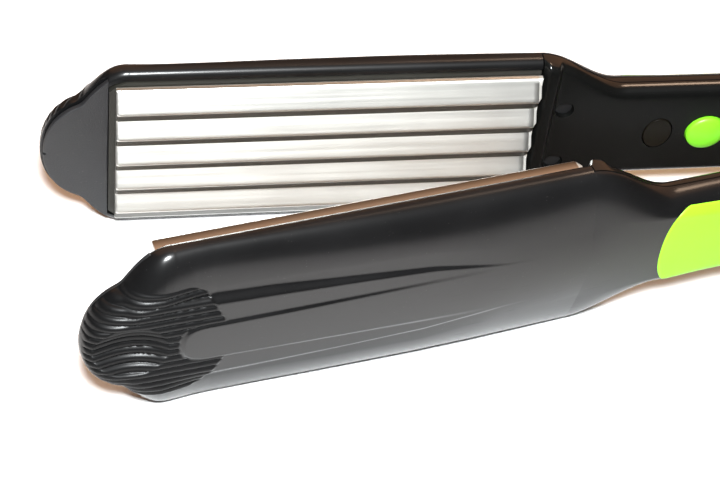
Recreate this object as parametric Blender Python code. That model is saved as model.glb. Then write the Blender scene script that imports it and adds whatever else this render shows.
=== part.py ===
"""Hair crimper with two hinged arms, lying on its side and sprung open.

Metres, +Z up. The arms' width runs along Z and their tips point to -X. Each arm is
modelled in its own axes: u runs from the hinge axis to the tip, w from the plane
where the closed plates meet outwards through the arm, z across its width.
"""

import bpy
import bmesh
import numpy as np
from math import pi, radians, cos, sin
from mathutils import Matrix, Vector

# Opening and overall lengths
OPEN_ANGLE = radians(11.0)
HINGE_TO_PLATE_END = 0.2485
PLATE_LENGTH = 0.105
NOSE_LENGTH = 0.0183
NECK_LENGTH = 0.0235

# Fits
FIT_GAP = 0.0003
HINGE_GAP = 0.0004
OVERRUN = 0.02
SKIN = 0.00005

# Housing section
BARREL_HALF_WIDTH = 0.0258
HANDLE_HALF_WIDTH = 0.0152
RIM_LEVEL = 0.0037
RIM_THICKNESS = 0.0024
WALL = 0.0022
BARREL_EDGE_LEVEL = 0.0112
BARREL_TIP_CROWN = 0.0130
BARREL_MID_CROWN = 0.0152
HANDLE_CROWN = 0.0140
HANDLE_EDGE_LEVEL = 0.0136
BARREL_CORNER = 0.0055
HANDLE_CORNER = 0.0065
BARREL_LIP = 0.0006
HANDLE_LIP = 0.0030
PARTING_LEVEL = 0.0068
COVER_WALL = 0.0018
END_RIDGE_LENGTH = 0.0056
END_RIDGE_HEIGHT = 0.0020

# Nose
NOSE_LOBE_HALF_WIDTH = 0.0157
NOSE_SHOULDER_LENGTH = 0.0130
NOSE_END_LEVEL = 0.0070
NOSE_LIP = 0.0012
NOSE_WALL = 0.0026
DIMPLE_DEPTH = 0.0022
DIMPLE_RADIUS = 0.0068
DIMPLE_FROM_PLATE_END = 0.0060
TIP_PANEL_THICKNESS = 0.0014
TIP_PANEL_INSET = 0.0007
TIP_PANEL_FROM_PLATE_END = 0.0019

# Plates
PLATE_SIDE_ROOM = 0.0037
RIDGE_PITCH_SHARE = 0.38
RIDGE_DEPTH = 0.00265
PLATE_SKIRT_LEVEL = 0.0031
PLATE_BASE_LEVEL = 0.0055
PLATE_BASE_INSET = 0.0020
PLATE_BASE_STEP = 0.0021
PLATE_END_CHAMFER = 0.0020

# Plate carrier and heater
CARRIER_LEVEL = 0.0034
CARRIER_FLOOR = 0.0014
CARRIER_LIP = 0.0012
HEATER_LENGTH = 0.066
HEATER_WIDTH = 0.016
HEATER_THICKNESS = 0.0026
CLIP_THICKNESS = 0.0005
CLIP_WIDTH = 0.006
CLIP_FOOT = 0.0050
LEAD_RADIUS = 0.0007
LEAD_SPREAD = 0.0042
LEAD_SPARE = 0.0040
FUSE_RADIUS = 0.0011
FUSE_LENGTH = 0.0090

# Hinge
HUB_HALF_HEIGHT = 0.0090
PIN_RADIUS = 0.0025
CAP_RADIUS = 0.0060
CAP_THICKNESS = 0.0012
SPRING_MEAN_RADIUS = 0.0052
SPRING_WIRE_RADIUS = 0.0006
SPRING_POCKET_RADIUS = 0.0066
SPRING_POCKET_DEPTH = 0.0056
SPRING_LEG_REACH = 0.0024

# Cord inlet
GLAND_LEVEL = 0.0070
GLAND_RADIUS = 0.0050
GLAND_BORE = 0.0034
GLAND_BOSS_RADIUS = 0.0066
GLAND_BOSS_END = 0.0175
GLAND_FLANGE_RADIUS = 0.0060
GLAND_FLANGE_THICKNESS = 0.0015
GLAND_SLEEVE_LENGTH = 0.0060
CORD_WAY_RADIUS = 0.0026
CORD_WAY_LEVEL = 0.0075

# Grip inserts
GRIP_PAST_NECK = 0.0040
GRIP_HINGE_END = 0.036
GRIP_SIDE_ROOM = 0.0016
GRIP_END_SAG = 0.0080
GRIP_THICKNESS = 0.0012
GRIP_PROUD = 0.0003

# Button, lens, board and screws
BUTTON_TO_LENS = 0.0129
BUTTON_RADIUS_SHARE = 0.342
BUTTON_HEIGHT = 0.0022
BUTTON_DOME = 0.0013
BUTTON_FLANGE = 0.0010
BUTTON_FLANGE_THICKNESS = 0.0007
BUTTON_TRAVEL = 0.0008
LENS_TO_NECK = 0.0108
LENS_HALF_LENGTH = 0.0037
LENS_HALF_WIDTH_SHARE = 0.322
LENS_PROUD = 0.0003
LENS_FLANGE = 0.0010
LENS_FLANGE_THICKNESS = 0.0007
LED_RADIUS = 0.0015
LED_HEIGHT = 0.0022
BOARD_THICKNESS = 0.0010
BOARD_SIDE_ROOM = 0.0062
BOARD_LEVEL = 0.0098
BOARD_TO_NECK = 0.0010
BOARD_PAST_BUTTON = 0.0363
BOARD_RAIL = 0.0010
SWITCH_SIDE = 0.0060
SWITCH_HEIGHT = 0.0012
PLUNGER_HEIGHT = 0.0006
PLUNGER_RADIUS = 0.0017
SCREW_TO_PLATE = 0.0080
SCREW_SPREAD = 0.0092
SCREW_HEAD_RADIUS = 0.0022
SCREW_HEAD_HEIGHT = 0.0010
SCREW_SHANK_RADIUS = 0.0011
SCREW_WELL_DEPTH = 0.0024
SCREW_SEAT_THICKNESS = 0.0017
SCREW_BOSS_RADIUS = 0.0030
SCREW_LENGTH = 0.0062

# Counts
ARC_STEPS = 4
CAVITY_ARC_STEPS = 2
ROUND_STEPS = 24
HUB_STEPS = 28
SEAT_STEPS = 20
WAY_STEPS = 16
SPRING_TURNS = 3
SPRING_STEPS = 12
LEAD_STEPS = 12

# Stations along each stretch, as shares of its length
nose_station_shares = (0.0, 0.14, 0.28, 0.42, 0.55, 0.67, 0.78, 0.87, 0.94, 0.985)
barrel_station_shares = (0.05, 0.25, 0.45, 0.65, 0.85, 1.0)
neck_station_shares = (0.12, 0.24, 0.36, 0.5, 0.64, 0.78, 1.0)
handle_station_shares = (0.88, 0.6, 0.3, 0.0)
disc_first_share = 0.37
face_column_shares = (0.82, 0.70, 0.58, 0.30, 0.0)

# The raised middle of the outer face starts and ends at these shares of the face
tip_step_shares = (0.82, 0.58)
handle_step_shares = (1.0, 0.0)

PLATE_HINGE_END = HINGE_TO_PLATE_END - PLATE_LENGTH
NECK_HINGE_END = PLATE_HINGE_END - NECK_LENGTH
BARREL_MIDDLE = PLATE_HINGE_END + PLATE_LENGTH / 4
PLATE_HALF_WIDTH = BARREL_HALF_WIDTH - PLATE_SIDE_ROOM
PLATE_BASE_HALF_WIDTH = PLATE_HALF_WIDTH - PLATE_BASE_STEP
RIDGE_PITCH = PLATE_HALF_WIDTH * RIDGE_PITCH_SHARE
GRIP_TIP_END = NECK_HINGE_END + GRIP_PAST_NECK
GRIP_HALF_WIDTH = HANDLE_HALF_WIDTH - GRIP_SIDE_ROOM
LENS_FROM_HINGE = NECK_HINGE_END - LENS_TO_NECK
BUTTON_FROM_HINGE = LENS_FROM_HINGE - BUTTON_TO_LENS
BOARD_HALF_WIDTH = HANDLE_HALF_WIDTH - BOARD_SIDE_ROOM
BUTTON_RADIUS = HANDLE_HALF_WIDTH * BUTTON_RADIUS_SHARE
LENS_HALF_WIDTH = HANDLE_HALF_WIDTH * LENS_HALF_WIDTH_SHARE
BOARD_TIP_END = NECK_HINGE_END - BOARD_TO_NECK
BOARD_HINGE_END = BUTTON_FROM_HINGE - BOARD_PAST_BUTTON
SCREW_FROM_HINGE = PLATE_HINGE_END - SCREW_TO_PLATE
REAR, FRONT = 1, -1
ARM_NAMES = {REAR: "rear", FRONT: "front"}


def smooth(t):
    """Smooth step from 0 to 1 with level ends."""
    t = min(max(t, 0.0), 1.0)
    return t * t * (3 - 2 * t)


def blend(a, b, t):
    return a + (b - a) * smooth(t)


# Housing form, as functions of u

def nose_place(u):
    """Distance past the plate's tip end, as a share of the nose's length."""
    return max(u - HINGE_TO_PLATE_END, 0.0) / NOSE_LENGTH


def half_width(u):
    """Half the arm's width: handle, S-shaped neck, barrel, shouldered nose with a round lobe."""
    if u <= HINGE_TO_PLATE_END:
        return blend(HANDLE_HALF_WIDTH, BARREL_HALF_WIDTH, (u - NECK_HINGE_END) / NECK_LENGTH)
    past = u - HINGE_TO_PLATE_END
    lobe = NOSE_LOBE_HALF_WIDTH * (1 - nose_place(u) ** 2.4) ** 0.5
    shoulder = BARREL_HALF_WIDTH - NOSE_LOBE_HALF_WIDTH
    return lobe + shoulder * (1 - smooth(past / NOSE_SHOULDER_LENGTH))


def crown(u):
    """Level of the middle of the outer face."""
    if u <= NECK_HINGE_END:
        return HANDLE_CROWN
    if u <= BARREL_MIDDLE:
        return blend(HANDLE_CROWN, BARREL_MID_CROWN, (u - NECK_HINGE_END) / (BARREL_MIDDLE - NECK_HINGE_END))
    run = HINGE_TO_PLATE_END - BARREL_MIDDLE
    level = BARREL_MID_CROWN + (BARREL_TIP_CROWN - BARREL_MID_CROWN) * min((u - BARREL_MIDDLE) / run, 1.0)
    return NOSE_END_LEVEL + (level - NOSE_END_LEVEL) * (1 - nose_place(u) ** 3) ** 0.5


def edge_level(u):
    """Level of the outer face beside its round corners."""
    level = blend(HANDLE_EDGE_LEVEL, BARREL_EDGE_LEVEL, (u - NECK_HINGE_END) / NECK_LENGTH)
    return NOSE_END_LEVEL + (level - NOSE_END_LEVEL) * (1 - nose_place(u) ** 3) ** 0.5


def inner_radius(u):
    """Rounding between the inner face and the side."""
    if u > HINGE_TO_PLATE_END:
        return blend(BARREL_LIP, NOSE_LIP, nose_place(u) * 3)
    return blend(HANDLE_LIP, BARREL_LIP, (u - NECK_HINGE_END) / NECK_LENGTH)


def outer_radius(u):
    """Rounding between the side and the outer face, within the depth and width there."""
    wanted = blend(HANDLE_CORNER, BARREL_CORNER, (u - NECK_HINGE_END) / NECK_LENGTH)
    room = edge_level(u) - RIM_LEVEL - inner_radius(u) - SKIN
    return min(wanted, room, half_width(u) * 0.6)


def face_rise(u, share):
    """Rise of the outer face from its edge, 0, to its middle, 1, at a share of its half width."""
    t = smooth((u - PLATE_HINGE_END) / PLATE_LENGTH)
    start = handle_step_shares[0] + (tip_step_shares[0] - handle_step_shares[0]) * t
    end = handle_step_shares[1] + (tip_step_shares[1] - handle_step_shares[1]) * t
    return smooth((start - share) / (start - end))


def dimple(u, z):
    """Depth of the thumb dimple in the nose."""
    away = (u - HINGE_TO_PLATE_END - DIMPLE_FROM_PLATE_END) ** 2 + z ** 2
    return DIMPLE_DEPTH * np.exp(-away / DIMPLE_RADIUS ** 2)


def outer_half(u, inset, arc_steps=ARC_STEPS):
    """Points (w, z) from the side to the middle of the outer face, inset from the surface."""
    radius = max(outer_radius(u) - inset, SKIN)
    side = half_width(u) - inset
    edge = edge_level(u) - inset
    points = []
    for step in range(arc_steps + 1):
        angle = pi / 2 * (1 - step / arc_steps)
        points.append((edge - radius + radius * cos(angle), side - radius + radius * sin(angle)))
    face = side - radius
    for share in face_column_shares:
        z = face * share
        level = edge + (crown(u) - edge_level(u)) * face_rise(u, share) - dimple(u, z)
        points.append((level, z))
    return points


def mirrored(points):
    """The half outline and its mirror image in z, leaving out the shared middle point."""
    return points + [(w, -z) for w, z in reversed(points[:-1])]


def form_section(u, inset=0.0, inner_level=RIM_LEVEL):
    """Whole outline of the arm: inner face, round edges, sides and outer face."""
    radius = max(inner_radius(u) - inset, SKIN)
    side = half_width(u) - inset
    level = inner_level + inset
    points = []
    for step in range(ARC_STEPS // 2 + 1):
        angle = pi / 2 * step / (ARC_STEPS // 2)
        points.append((level + radius - radius * cos(angle), side - radius + radius * sin(angle)))
    return mirrored(points + outer_half(u, inset))


def barrel_cavity_section(u):
    """Hollow of the barrel and nose, open through the inner face."""
    inset = RIM_THICKNESS
    points = outer_half(u, inset, CAVITY_ARC_STEPS)
    return mirrored([(RIM_LEVEL - OVERRUN, half_width(u) - inset)] + points)


def handle_cavity_section(u):
    """Hollow of the neck and handle between the two half shells."""
    side = half_width(u) - WALL
    return mirrored([(RIM_LEVEL + COVER_WALL, side)] + outer_half(u, WALL, CAVITY_ARC_STEPS))


def cover_level(u):
    """Inner face of the cover, with a round ridge across it beside the plate."""
    middle = PLATE_HINGE_END - END_RIDGE_LENGTH / 2
    share = 1 - abs(u - middle) / (END_RIDGE_LENGTH / 2)
    return RIM_LEVEL - END_RIDGE_HEIGHT * smooth(share * 1.6)


def nose_stations(end_share=1.0):
    return [HINGE_TO_PLATE_END + NOSE_LENGTH * share * end_share for share in reversed(nose_station_shares)]


def barrel_stations():
    return [HINGE_TO_PLATE_END - PLATE_LENGTH * share for share in barrel_station_shares]


def neck_stations():
    return [PLATE_HINGE_END - NECK_LENGTH * share for share in neck_station_shares]


def handle_stations():
    return [NECK_HINGE_END * share for share in handle_station_shares]


# Scene helpers

def clear_scene():
    for item in list(bpy.data.objects):
        bpy.data.objects.remove(item, do_unlink=True)


def finish(name, colour, roughness, metallic=0.0):
    """A plain Principled material."""
    material = bpy.data.materials.new(name)
    material.use_nodes = True
    shader = material.node_tree.nodes["Principled BSDF"]
    shader.inputs["Base Color"].default_value = (*colour, 1.0)
    shader.inputs["Roughness"].default_value = roughness
    shader.inputs["Metallic"].default_value = metallic
    return material


def empty(name, location, turn=0.0, parent=None):
    item = bpy.data.objects.new(name, None)
    bpy.context.scene.collection.objects.link(item)
    item.location = location
    item.rotation_euler = (0.0, 0.0, turn)
    item.parent = parent
    return item


def solid(name, bm, material, parent, smooth_faces=True):
    """Turns a closed bmesh into a named object with its faces pointing out."""
    bmesh.ops.recalc_face_normals(bm, faces=bm.faces)
    mesh = bpy.data.meshes.new(name)
    bm.to_mesh(mesh)
    bm.free()
    if smooth_faces:
        mesh.shade_smooth()
        mesh.set_sharp_from_angle(angle=radians(35))
    if material:
        mesh.materials.append(material)
    item = bpy.data.objects.new(name, mesh)
    bpy.context.scene.collection.objects.link(item)
    item.parent = parent
    return item


def as_cutter(item):
    item.hide_render = True
    item.display_type = 'WIRE'
    return item


def boolean(target, tool, operation):
    modifier = target.modifiers.new(f"{operation.lower()}_{tool.name}", 'BOOLEAN')
    modifier.operation = operation
    modifier.solver = 'EXACT'
    modifier.object = as_cutter(tool)


def cut(target, *tools):
    for tool in tools:
        boolean(target, tool, 'DIFFERENCE')


def unite(target, *tools):
    for tool in tools:
        boolean(target, tool, 'UNION')


def keep(target, *tools):
    for tool in tools:
        boolean(target, tool, 'INTERSECT')


# Shapes in an arm's own axes

class Arm:
    """One arm: its empty, its side of the mating plane and its shapes."""

    def __init__(self, side, parent):
        self.side = side
        self.name = ARM_NAMES[side]
        self.empty = empty(f"{self.name}_arm", (0.0, 0.0, 0.0), -side * OPEN_ANGLE / 2, parent)

    def place(self, u, w, z):
        return Vector((-u, self.side * w, z))

    def loft(self, name, stations, section, material=None):
        """Closed solid through one outline for each station along u."""
        bm = bmesh.new()
        rings = [[bm.verts.new(self.place(u, w, z)) for w, z in section(u)] for u in stations]
        count = len(rings[0])
        for ring, following in zip(rings, rings[1:]):
            for i in range(count):
                j = (i + 1) % count
                bm.faces.new((ring[i], ring[j], following[j], following[i]))
        bm.faces.new(rings[0])
        bm.faces.new(rings[-1])
        return solid(name, bm, material, self.empty)

    def prism(self, name, outline, levels, material=None):
        """Outline of (u, z) points carried straight through the arm between two levels."""
        bm = bmesh.new()
        rings = [[bm.verts.new(self.place(u, w, z)) for u, z in outline] for w in levels]
        for i in range(len(outline)):
            j = (i + 1) % len(outline)
            bm.faces.new((rings[0][i], rings[0][j], rings[1][j], rings[1][i]))
        bm.faces.new(rings[0])
        bm.faces.new(rings[1])
        return solid(name, bm, material, self.empty, smooth_faces=False)

    def box(self, name, u, w, z, material=None):
        """Box between two values of u, w and z."""
        return self.prism(name, [(u[0], z[0]), (u[1], z[0]), (u[1], z[1]), (u[0], z[1])], w, material)

    def turned(self, name, profile, centre, axis, material=None, steps=ROUND_STEPS, first_share=0.0):
        """Solid turned from (radius, height) points about an axis through the centre."""
        bm = bmesh.new()
        frame = self.turning_frame(centre, axis)
        rings = []
        for radius, height in profile:
            if radius == 0:
                rings.append([bm.verts.new(frame @ Vector((0.0, 0.0, height)))])
                continue
            turns = [2 * pi * (k + first_share) / steps for k in range(steps)]
            spots = [Vector((radius * cos(a), radius * sin(a), height)) for a in turns]
            rings.append([bm.verts.new(frame @ spot) for spot in spots])
        closed = rings if len(rings[0]) == 1 else rings + rings[:1]
        for ring, following in zip(closed, closed[1:]):
            for k in range(steps):
                corners = [ring[k % len(ring)], ring[(k + 1) % len(ring)],
                           following[(k + 1) % len(following)], following[k % len(following)]]
                bm.faces.new(list(dict.fromkeys(corners)))
        return solid(name, bm, material, self.empty)

    def turning_frame(self, centre, axis):
        """Frame with its Z along 'u', 'w' or 'z' of the arm and its origin at the centre."""
        direction = {'u': Vector((-1, 0, 0)), 'w': Vector((0, self.side, 0)), 'z': Vector((0, 0, 1))}[axis]
        turn = Vector((0, 0, 1)).rotation_difference(direction).to_matrix().to_4x4()
        return Matrix.Translation(self.place(*centre)) @ turn

    def disc(self, name, radius, heights, centre, axis, material=None, steps=ROUND_STEPS):
        """Plain cylinder between two heights, its corners turned off those of the hub."""
        profile = [(0.0, heights[0]), (radius, heights[0]), (radius, heights[1]), (0.0, heights[1])]
        return self.turned(name, profile, centre, axis, material, steps, disc_first_share)

    def tube(self, name, radius, points, material):
        """Round wire along the points, as a curve with filled ends."""
        curve = bpy.data.curves.new(name, 'CURVE')
        curve.dimensions = '3D'
        curve.bevel_depth = radius
        curve.bevel_resolution = 2
        curve.use_fill_caps = True
        for route in points:
            spline = curve.splines.new('POLY')
            spline.points.add(len(route) - 1)
            for target, point in zip(spline.points, route):
                target.co = (*self.place(*point), 1.0)
        curve.materials.append(material)
        item = bpy.data.objects.new(name, curve)
        bpy.context.scene.collection.objects.link(item)
        item.parent = self.empty
        return item


# Housing

def hub_profile():
    """Half outline of the handle's end turned about the hinge axis, a hair larger."""
    face = outer_half(0.0, -SKIN)
    upper = [(0.0, face[0][1])] + face
    lower = [(w, -z) for w, z in reversed(upper[:-1])]
    return upper + lower


def band(arm, name, radius, low, high):
    """Cylinder about the hinge axis between two heights."""
    return arm.disc(name, radius, (low, high), (0.0, 0.0, 0.0), 'z', steps=HUB_STEPS)


def hinge_bore(arm):
    reach = HANDLE_HALF_WIDTH + OVERRUN
    return arm.disc(f"{arm.name}_pin_bore", PIN_RADIUS + FIT_GAP, (-reach, reach), (0.0, 0.0, 0.0), 'z')


def hub_radius():
    return HANDLE_CROWN


def add_hub(arm, shell):
    """Rear arm: the hub's middle. Front arm: the two cheeks that hold it."""
    reach = HANDLE_HALF_WIDTH + OVERRUN
    clear = hub_radius() + HINGE_GAP
    cheek_start = HUB_HALF_HEIGHT + HINGE_GAP
    unite(shell, arm.turned(f"{arm.name}_hub", hub_profile(), (0.0, 0.0, 0.0), 'z', steps=HUB_STEPS))
    if arm.side == REAR:
        for sign in (-1, 1):
            heights = sorted((sign * HUB_HALF_HEIGHT, sign * reach))
            cut(shell, band(arm, f"rear_cheek_room_{sign}", clear, *heights))
        unite(shell, gland_boss(arm))
        cut(shell, spring_pocket(arm), gland_seat(arm), cord_way(arm))
    else:
        cut(shell, band(arm, "front_hub_room", clear, -cheek_start, cheek_start))
        cut(shell, *cap_seats(arm))
    cut(shell, hinge_bore(arm))


def cap_seats(arm):
    seats = []
    for sign in (-1, 1):
        floor = HANDLE_HALF_WIDTH - CAP_THICKNESS - FIT_GAP
        heights = sorted((sign * floor, sign * (HANDLE_HALF_WIDTH + OVERRUN)))
        seats.append(band(arm, f"cap_seat_{sign}", CAP_RADIUS + FIT_GAP, *heights))
    return seats


def past_both_sides():
    return (-BARREL_HALF_WIDTH - OVERRUN, BARREL_HALF_WIDTH + OVERRUN)


def step_cutter(arm):
    """Takes the housing down to the parting level along neck and handle."""
    levels = (RIM_LEVEL - OVERRUN, PARTING_LEVEL + FIT_GAP)
    return arm.box(f"{arm.name}_step", (-OVERRUN, PLATE_HINGE_END), levels, past_both_sides())


def nose_step_cutter(arm):
    """Lowers the nose's rim so that the tip panel lies on it."""
    start = HINGE_TO_PLATE_END + TIP_PANEL_FROM_PLATE_END
    levels = (RIM_LEVEL - OVERRUN, RIM_LEVEL + TIP_PANEL_THICKNESS + FIT_GAP)
    end = start + NOSE_LENGTH + OVERRUN
    return arm.box(f"{arm.name}_nose_step", (start, end), levels, past_both_sides())


def barrel_cavity(arm):
    share = 1 - (NOSE_WALL + NOSE_LIP) / NOSE_LENGTH
    stations = nose_stations(share)[1::2] + barrel_stations()[1::2]
    return arm.loft(f"{arm.name}_barrel_cavity", stations, barrel_cavity_section)


def handle_cavity(arm, name):
    """Runs from beside the hub into the barrel's hollow."""
    start = hub_radius() + WALL
    stations = [PLATE_HINGE_END + OVERRUN / 10] + neck_stations()[::2]
    stations += [u for u in handle_stations() if u > start] + [start]
    return arm.loft(f"{arm.name}_{name}", stations, handle_cavity_section)


def grip_outline(margin):
    """Inlay outline of (u, z) points: straight long edges and bowed ends."""
    half = GRIP_HALF_WIDTH + margin
    shares = np.linspace(-1.0, 1.0, 15)
    sag = GRIP_END_SAG * (1 - (1 - np.abs(shares) ** 2.2) ** 0.5)
    tip = [(GRIP_TIP_END + margin - s, half * share) for share, s in zip(shares, sag)]
    hinge = [(GRIP_HINGE_END - margin + s, half * share) for share, s in zip(shares[::-1], sag[::-1])]
    return tip + hinge


def grip_stations():
    return [u for u in neck_stations() + handle_stations() if u < GRIP_TIP_END + WALL * 3]


def grip_levels():
    return (HANDLE_CROWN / 2 + WALL, HANDLE_CROWN + OVERRUN)


def grip_recess(arm):
    """Room for the inlay: its outline with a gap, down to below its back."""
    tool = arm.prism(f"{arm.name}_grip_room", grip_outline(FIT_GAP), grip_levels())
    depth = GRIP_THICKNESS - GRIP_PROUD + FIT_GAP
    floor = arm.loft(f"{arm.name}_grip_floor", grip_stations(), lambda u: form_section(u, depth))
    cut(tool, floor)
    return tool


def outer_shell(arm, material):
    stations = nose_stations() + barrel_stations() + neck_stations() + handle_stations()
    shell = arm.loft(f"{arm.name}_outer_shell", stations, form_section, material)
    cut(shell, barrel_cavity(arm), handle_cavity(arm, "shell_cavity"))
    cut(shell, step_cutter(arm), nose_step_cutter(arm), grip_recess(arm))
    add_hub(arm, shell)
    add_screw_bosses(arm, shell)
    return shell


def inner_cover(arm, material):
    """Inner half of neck and handle, cut from the same form as the outer shell."""
    end = PLATE_HINGE_END - FIT_GAP
    ridge = [end - END_RIDGE_LENGTH * share for share in (0.0, 0.15, 0.35, 0.65, 0.85, 1.0)]
    stations = ridge + [u for u in neck_stations() if u < ridge[-1] - SKIN] + handle_stations()
    name = f"{arm.name}_inner_cover"
    cover = arm.loft(name, stations, lambda u: form_section(u, inner_level=cover_level(u)), material)
    levels = (PARTING_LEVEL, HANDLE_CROWN + OVERRUN)
    cut(cover, handle_cavity(arm, "cover_cavity"))
    cut(cover, arm.box(f"{arm.name}_cover_parting", (-OVERRUN, end + OVERRUN), levels, past_both_sides()))
    clear = hub_radius() + HINGE_GAP
    reach = HANDLE_HALF_WIDTH + OVERRUN
    cut(cover, band(arm, f"{arm.name}_cover_hub_room", clear, -reach, reach))
    add_screw_seats(arm, cover)
    return cover


def tip_panel_outline():
    """The nose's outline moved inwards, from beside the plate round the tip and back."""
    start = (TIP_PANEL_FROM_PLATE_END + FIT_GAP) / NOSE_LENGTH
    turns = np.linspace(np.arcsin(start), pi / 2, 13)[:-1]
    past = NOSE_LENGTH * np.sin(turns)
    side = np.array([half_width(HINGE_TO_PLATE_END + s) for s in past])
    slope = np.gradient(side, past)
    length = np.sqrt(slope ** 2 + 1)
    u = HINGE_TO_PLATE_END + past + TIP_PANEL_INSET * slope / length
    z = side - TIP_PANEL_INSET / length
    u[0] = HINGE_TO_PLATE_END + past[0]
    tip = [(HINGE_TO_PLATE_END + NOSE_LENGTH - TIP_PANEL_INSET * 2, 0.0)]
    upper = list(zip(u.tolist(), z.tolist()))
    return upper + tip + [(a, -b) for a, b in reversed(upper)]


def tip_panel(arm, material):
    levels = (RIM_LEVEL, RIM_LEVEL + TIP_PANEL_THICKNESS)
    return arm.prism(f"{arm.name}_tip_panel", tip_panel_outline(), levels, material)


# Plate, carrier and heater

def ridge_outline(side):
    """Front of the plate, (w, z) from edge to edge. Front and rear ridges fall between each other."""
    slope = RIDGE_DEPTH / (RIDGE_PITCH / 2)
    shift = 0 if side == REAR else 1
    places = [(k - 4) * RIDGE_PITCH / 2 for k in range(9)]
    points = []
    for k, z in enumerate(places):
        crest = (k + shift) % 2 == 0
        points.append((-RIDGE_DEPTH / 2 if crest else RIDGE_DEPTH / 2, z))
    if side == FRONT:
        outer = 5 * RIDGE_PITCH / 2
        points = [(-RIDGE_DEPTH / 2, -outer)] + points + [(-RIDGE_DEPTH / 2, outer)]
    run = PLATE_HALF_WIDTH - points[-1][1]
    edge = -RIDGE_DEPTH / 2 + slope * run
    return [(edge, -PLATE_HALF_WIDTH)] + points + [(edge, PLATE_HALF_WIDTH)]


def plate(arm, material):
    """Ridges, chamfered at the hinge end, on a skirt and a narrower base."""
    front = ridge_outline(arm.side)
    back = [(PLATE_SKIRT_LEVEL, PLATE_HALF_WIDTH), (PLATE_SKIRT_LEVEL, -PLATE_HALF_WIDTH)]

    def section(u):
        fade = max(PLATE_HINGE_END + PLATE_END_CHAMFER - u, 0.0)
        limit = RIDGE_DEPTH / 2 + fade / 3
        return [(min(w + fade, max(w, limit)), z) for w, z in front] + back

    stations = [HINGE_TO_PLATE_END, PLATE_HINGE_END + PLATE_END_CHAMFER, PLATE_HINGE_END]
    body = arm.loft(f"{arm.name}_plate", stations, section, material)
    ends = (PLATE_HINGE_END + PLATE_BASE_INSET, HINGE_TO_PLATE_END - PLATE_BASE_INSET)
    levels = (PLATE_SKIRT_LEVEL - RIDGE_DEPTH / 4, PLATE_BASE_LEVEL)
    base = arm.box(f"{arm.name}_plate_base", ends, levels, (-PLATE_BASE_HALF_WIDTH, PLATE_BASE_HALF_WIDTH))
    unite(body, base)
    return body


def heater_middle():
    return PLATE_HINGE_END + PLATE_LENGTH / 2


def heater_levels():
    start = PLATE_BASE_LEVEL + FIT_GAP
    return (start, start + HEATER_THICKNESS)


def carrier_levels():
    return (CARRIER_LEVEL, PLATE_BASE_LEVEL + FIT_GAP + CARRIER_FLOOR)


def carrier_section(u):
    """Carrier outline: narrower in the nose, with its back corners cut off."""
    half = half_width(u + NOSE_WALL) - RIM_THICKNESS - FIT_GAP
    front, back = carrier_levels()
    cut_off = (back - front) * 0.4
    return mirrored([(front, half), (back - cut_off, half), (back, half - cut_off), (back, 0.0)])


def carrier(arm, material):
    """Frame round the plate's base with a floor, and a window for the heater."""
    tip_end = HINGE_TO_PLATE_END + TIP_PANEL_FROM_PLATE_END - FIT_GAP
    stations = [tip_end, HINGE_TO_PLATE_END, HINGE_TO_PLATE_END - NOSE_WALL, PLATE_HINGE_END + FIT_GAP]
    body = arm.loft(f"{arm.name}_plate_carrier", stations, carrier_section, material)
    inset = PLATE_BASE_INSET - FIT_GAP
    half = PLATE_BASE_HALF_WIDTH + FIT_GAP
    pocket = arm.box(f"{arm.name}_carrier_pocket", (PLATE_HINGE_END + inset, HINGE_TO_PLATE_END - inset),
                     (CARRIER_LEVEL - OVERRUN, PLATE_BASE_LEVEL + FIT_GAP), (-half, half))
    reach = HEATER_LENGTH / 2 + FIT_GAP
    side = HEATER_WIDTH / 2 + FIT_GAP
    window = arm.box(f"{arm.name}_carrier_window", (heater_middle() - reach, heater_middle() + reach),
                     (CARRIER_LEVEL, PLATE_BASE_LEVEL + OVERRUN), (-side, side))
    cut(body, pocket, window)
    return body


def heater(arm, material):
    reach = HEATER_LENGTH / 2
    return arm.box(f"{arm.name}_heater", (heater_middle() - reach, heater_middle() + reach), heater_levels(),
                   (-HEATER_WIDTH / 2, HEATER_WIDTH / 2), material)


def heater_clip(arm, material):
    """Sprung strap over the heater, its bent feet on the carrier's floor."""
    back = heater_levels()[1] + FIT_GAP
    floor = carrier_levels()[1] + FIT_GAP
    knee = HEATER_LENGTH / 2 + FIT_GAP
    foot = knee + CLIP_FOOT
    slant = back - floor + CLIP_THICKNESS
    middle = heater_middle()
    half_route = [(foot, floor), (knee + slant, floor), (knee, back)]
    under = [(middle + u, w) for u, w in half_route] + [(middle - u, w) for u, w in reversed(half_route)]
    over = [(u, w + CLIP_THICKNESS) for u, w in reversed(under)]
    bm = bmesh.new()
    half = CLIP_WIDTH / 2
    rings = [[bm.verts.new(arm.place(u, w, z)) for u, w in under + over] for z in (-half, half)]
    for i in range(len(rings[0])):
        j = (i + 1) % len(rings[0])
        bm.faces.new((rings[0][i], rings[0][j], rings[1][j], rings[1][i]))
    bm.faces.new(rings[0])
    bm.faces.new(rings[1])
    return solid(f"{arm.name}_heater_clip", bm, material, arm.empty, smooth_faces=False)


def leads(arm, start, material):
    """Two wires from a place in the handle through the neck to the heater's end."""
    end = heater_middle() - HEATER_LENGTH / 2 - FIT_GAP
    near = carrier_levels()[1] + FIT_GAP + LEAD_RADIUS
    far = BOARD_LEVEL + BOARD_THICKNESS / 2
    for sign, where in ((1, "upper"), (-1, "lower")):
        route = []
        for share in np.linspace(0.0, 1.0, LEAD_STEPS):
            level = far + (near - far) * smooth(share)
            route.append((start + (end - start) * share, level, sign * LEAD_SPREAD))
        arm.tube(f"{arm.name}_{where}_lead", LEAD_RADIUS, [route], material)


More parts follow.
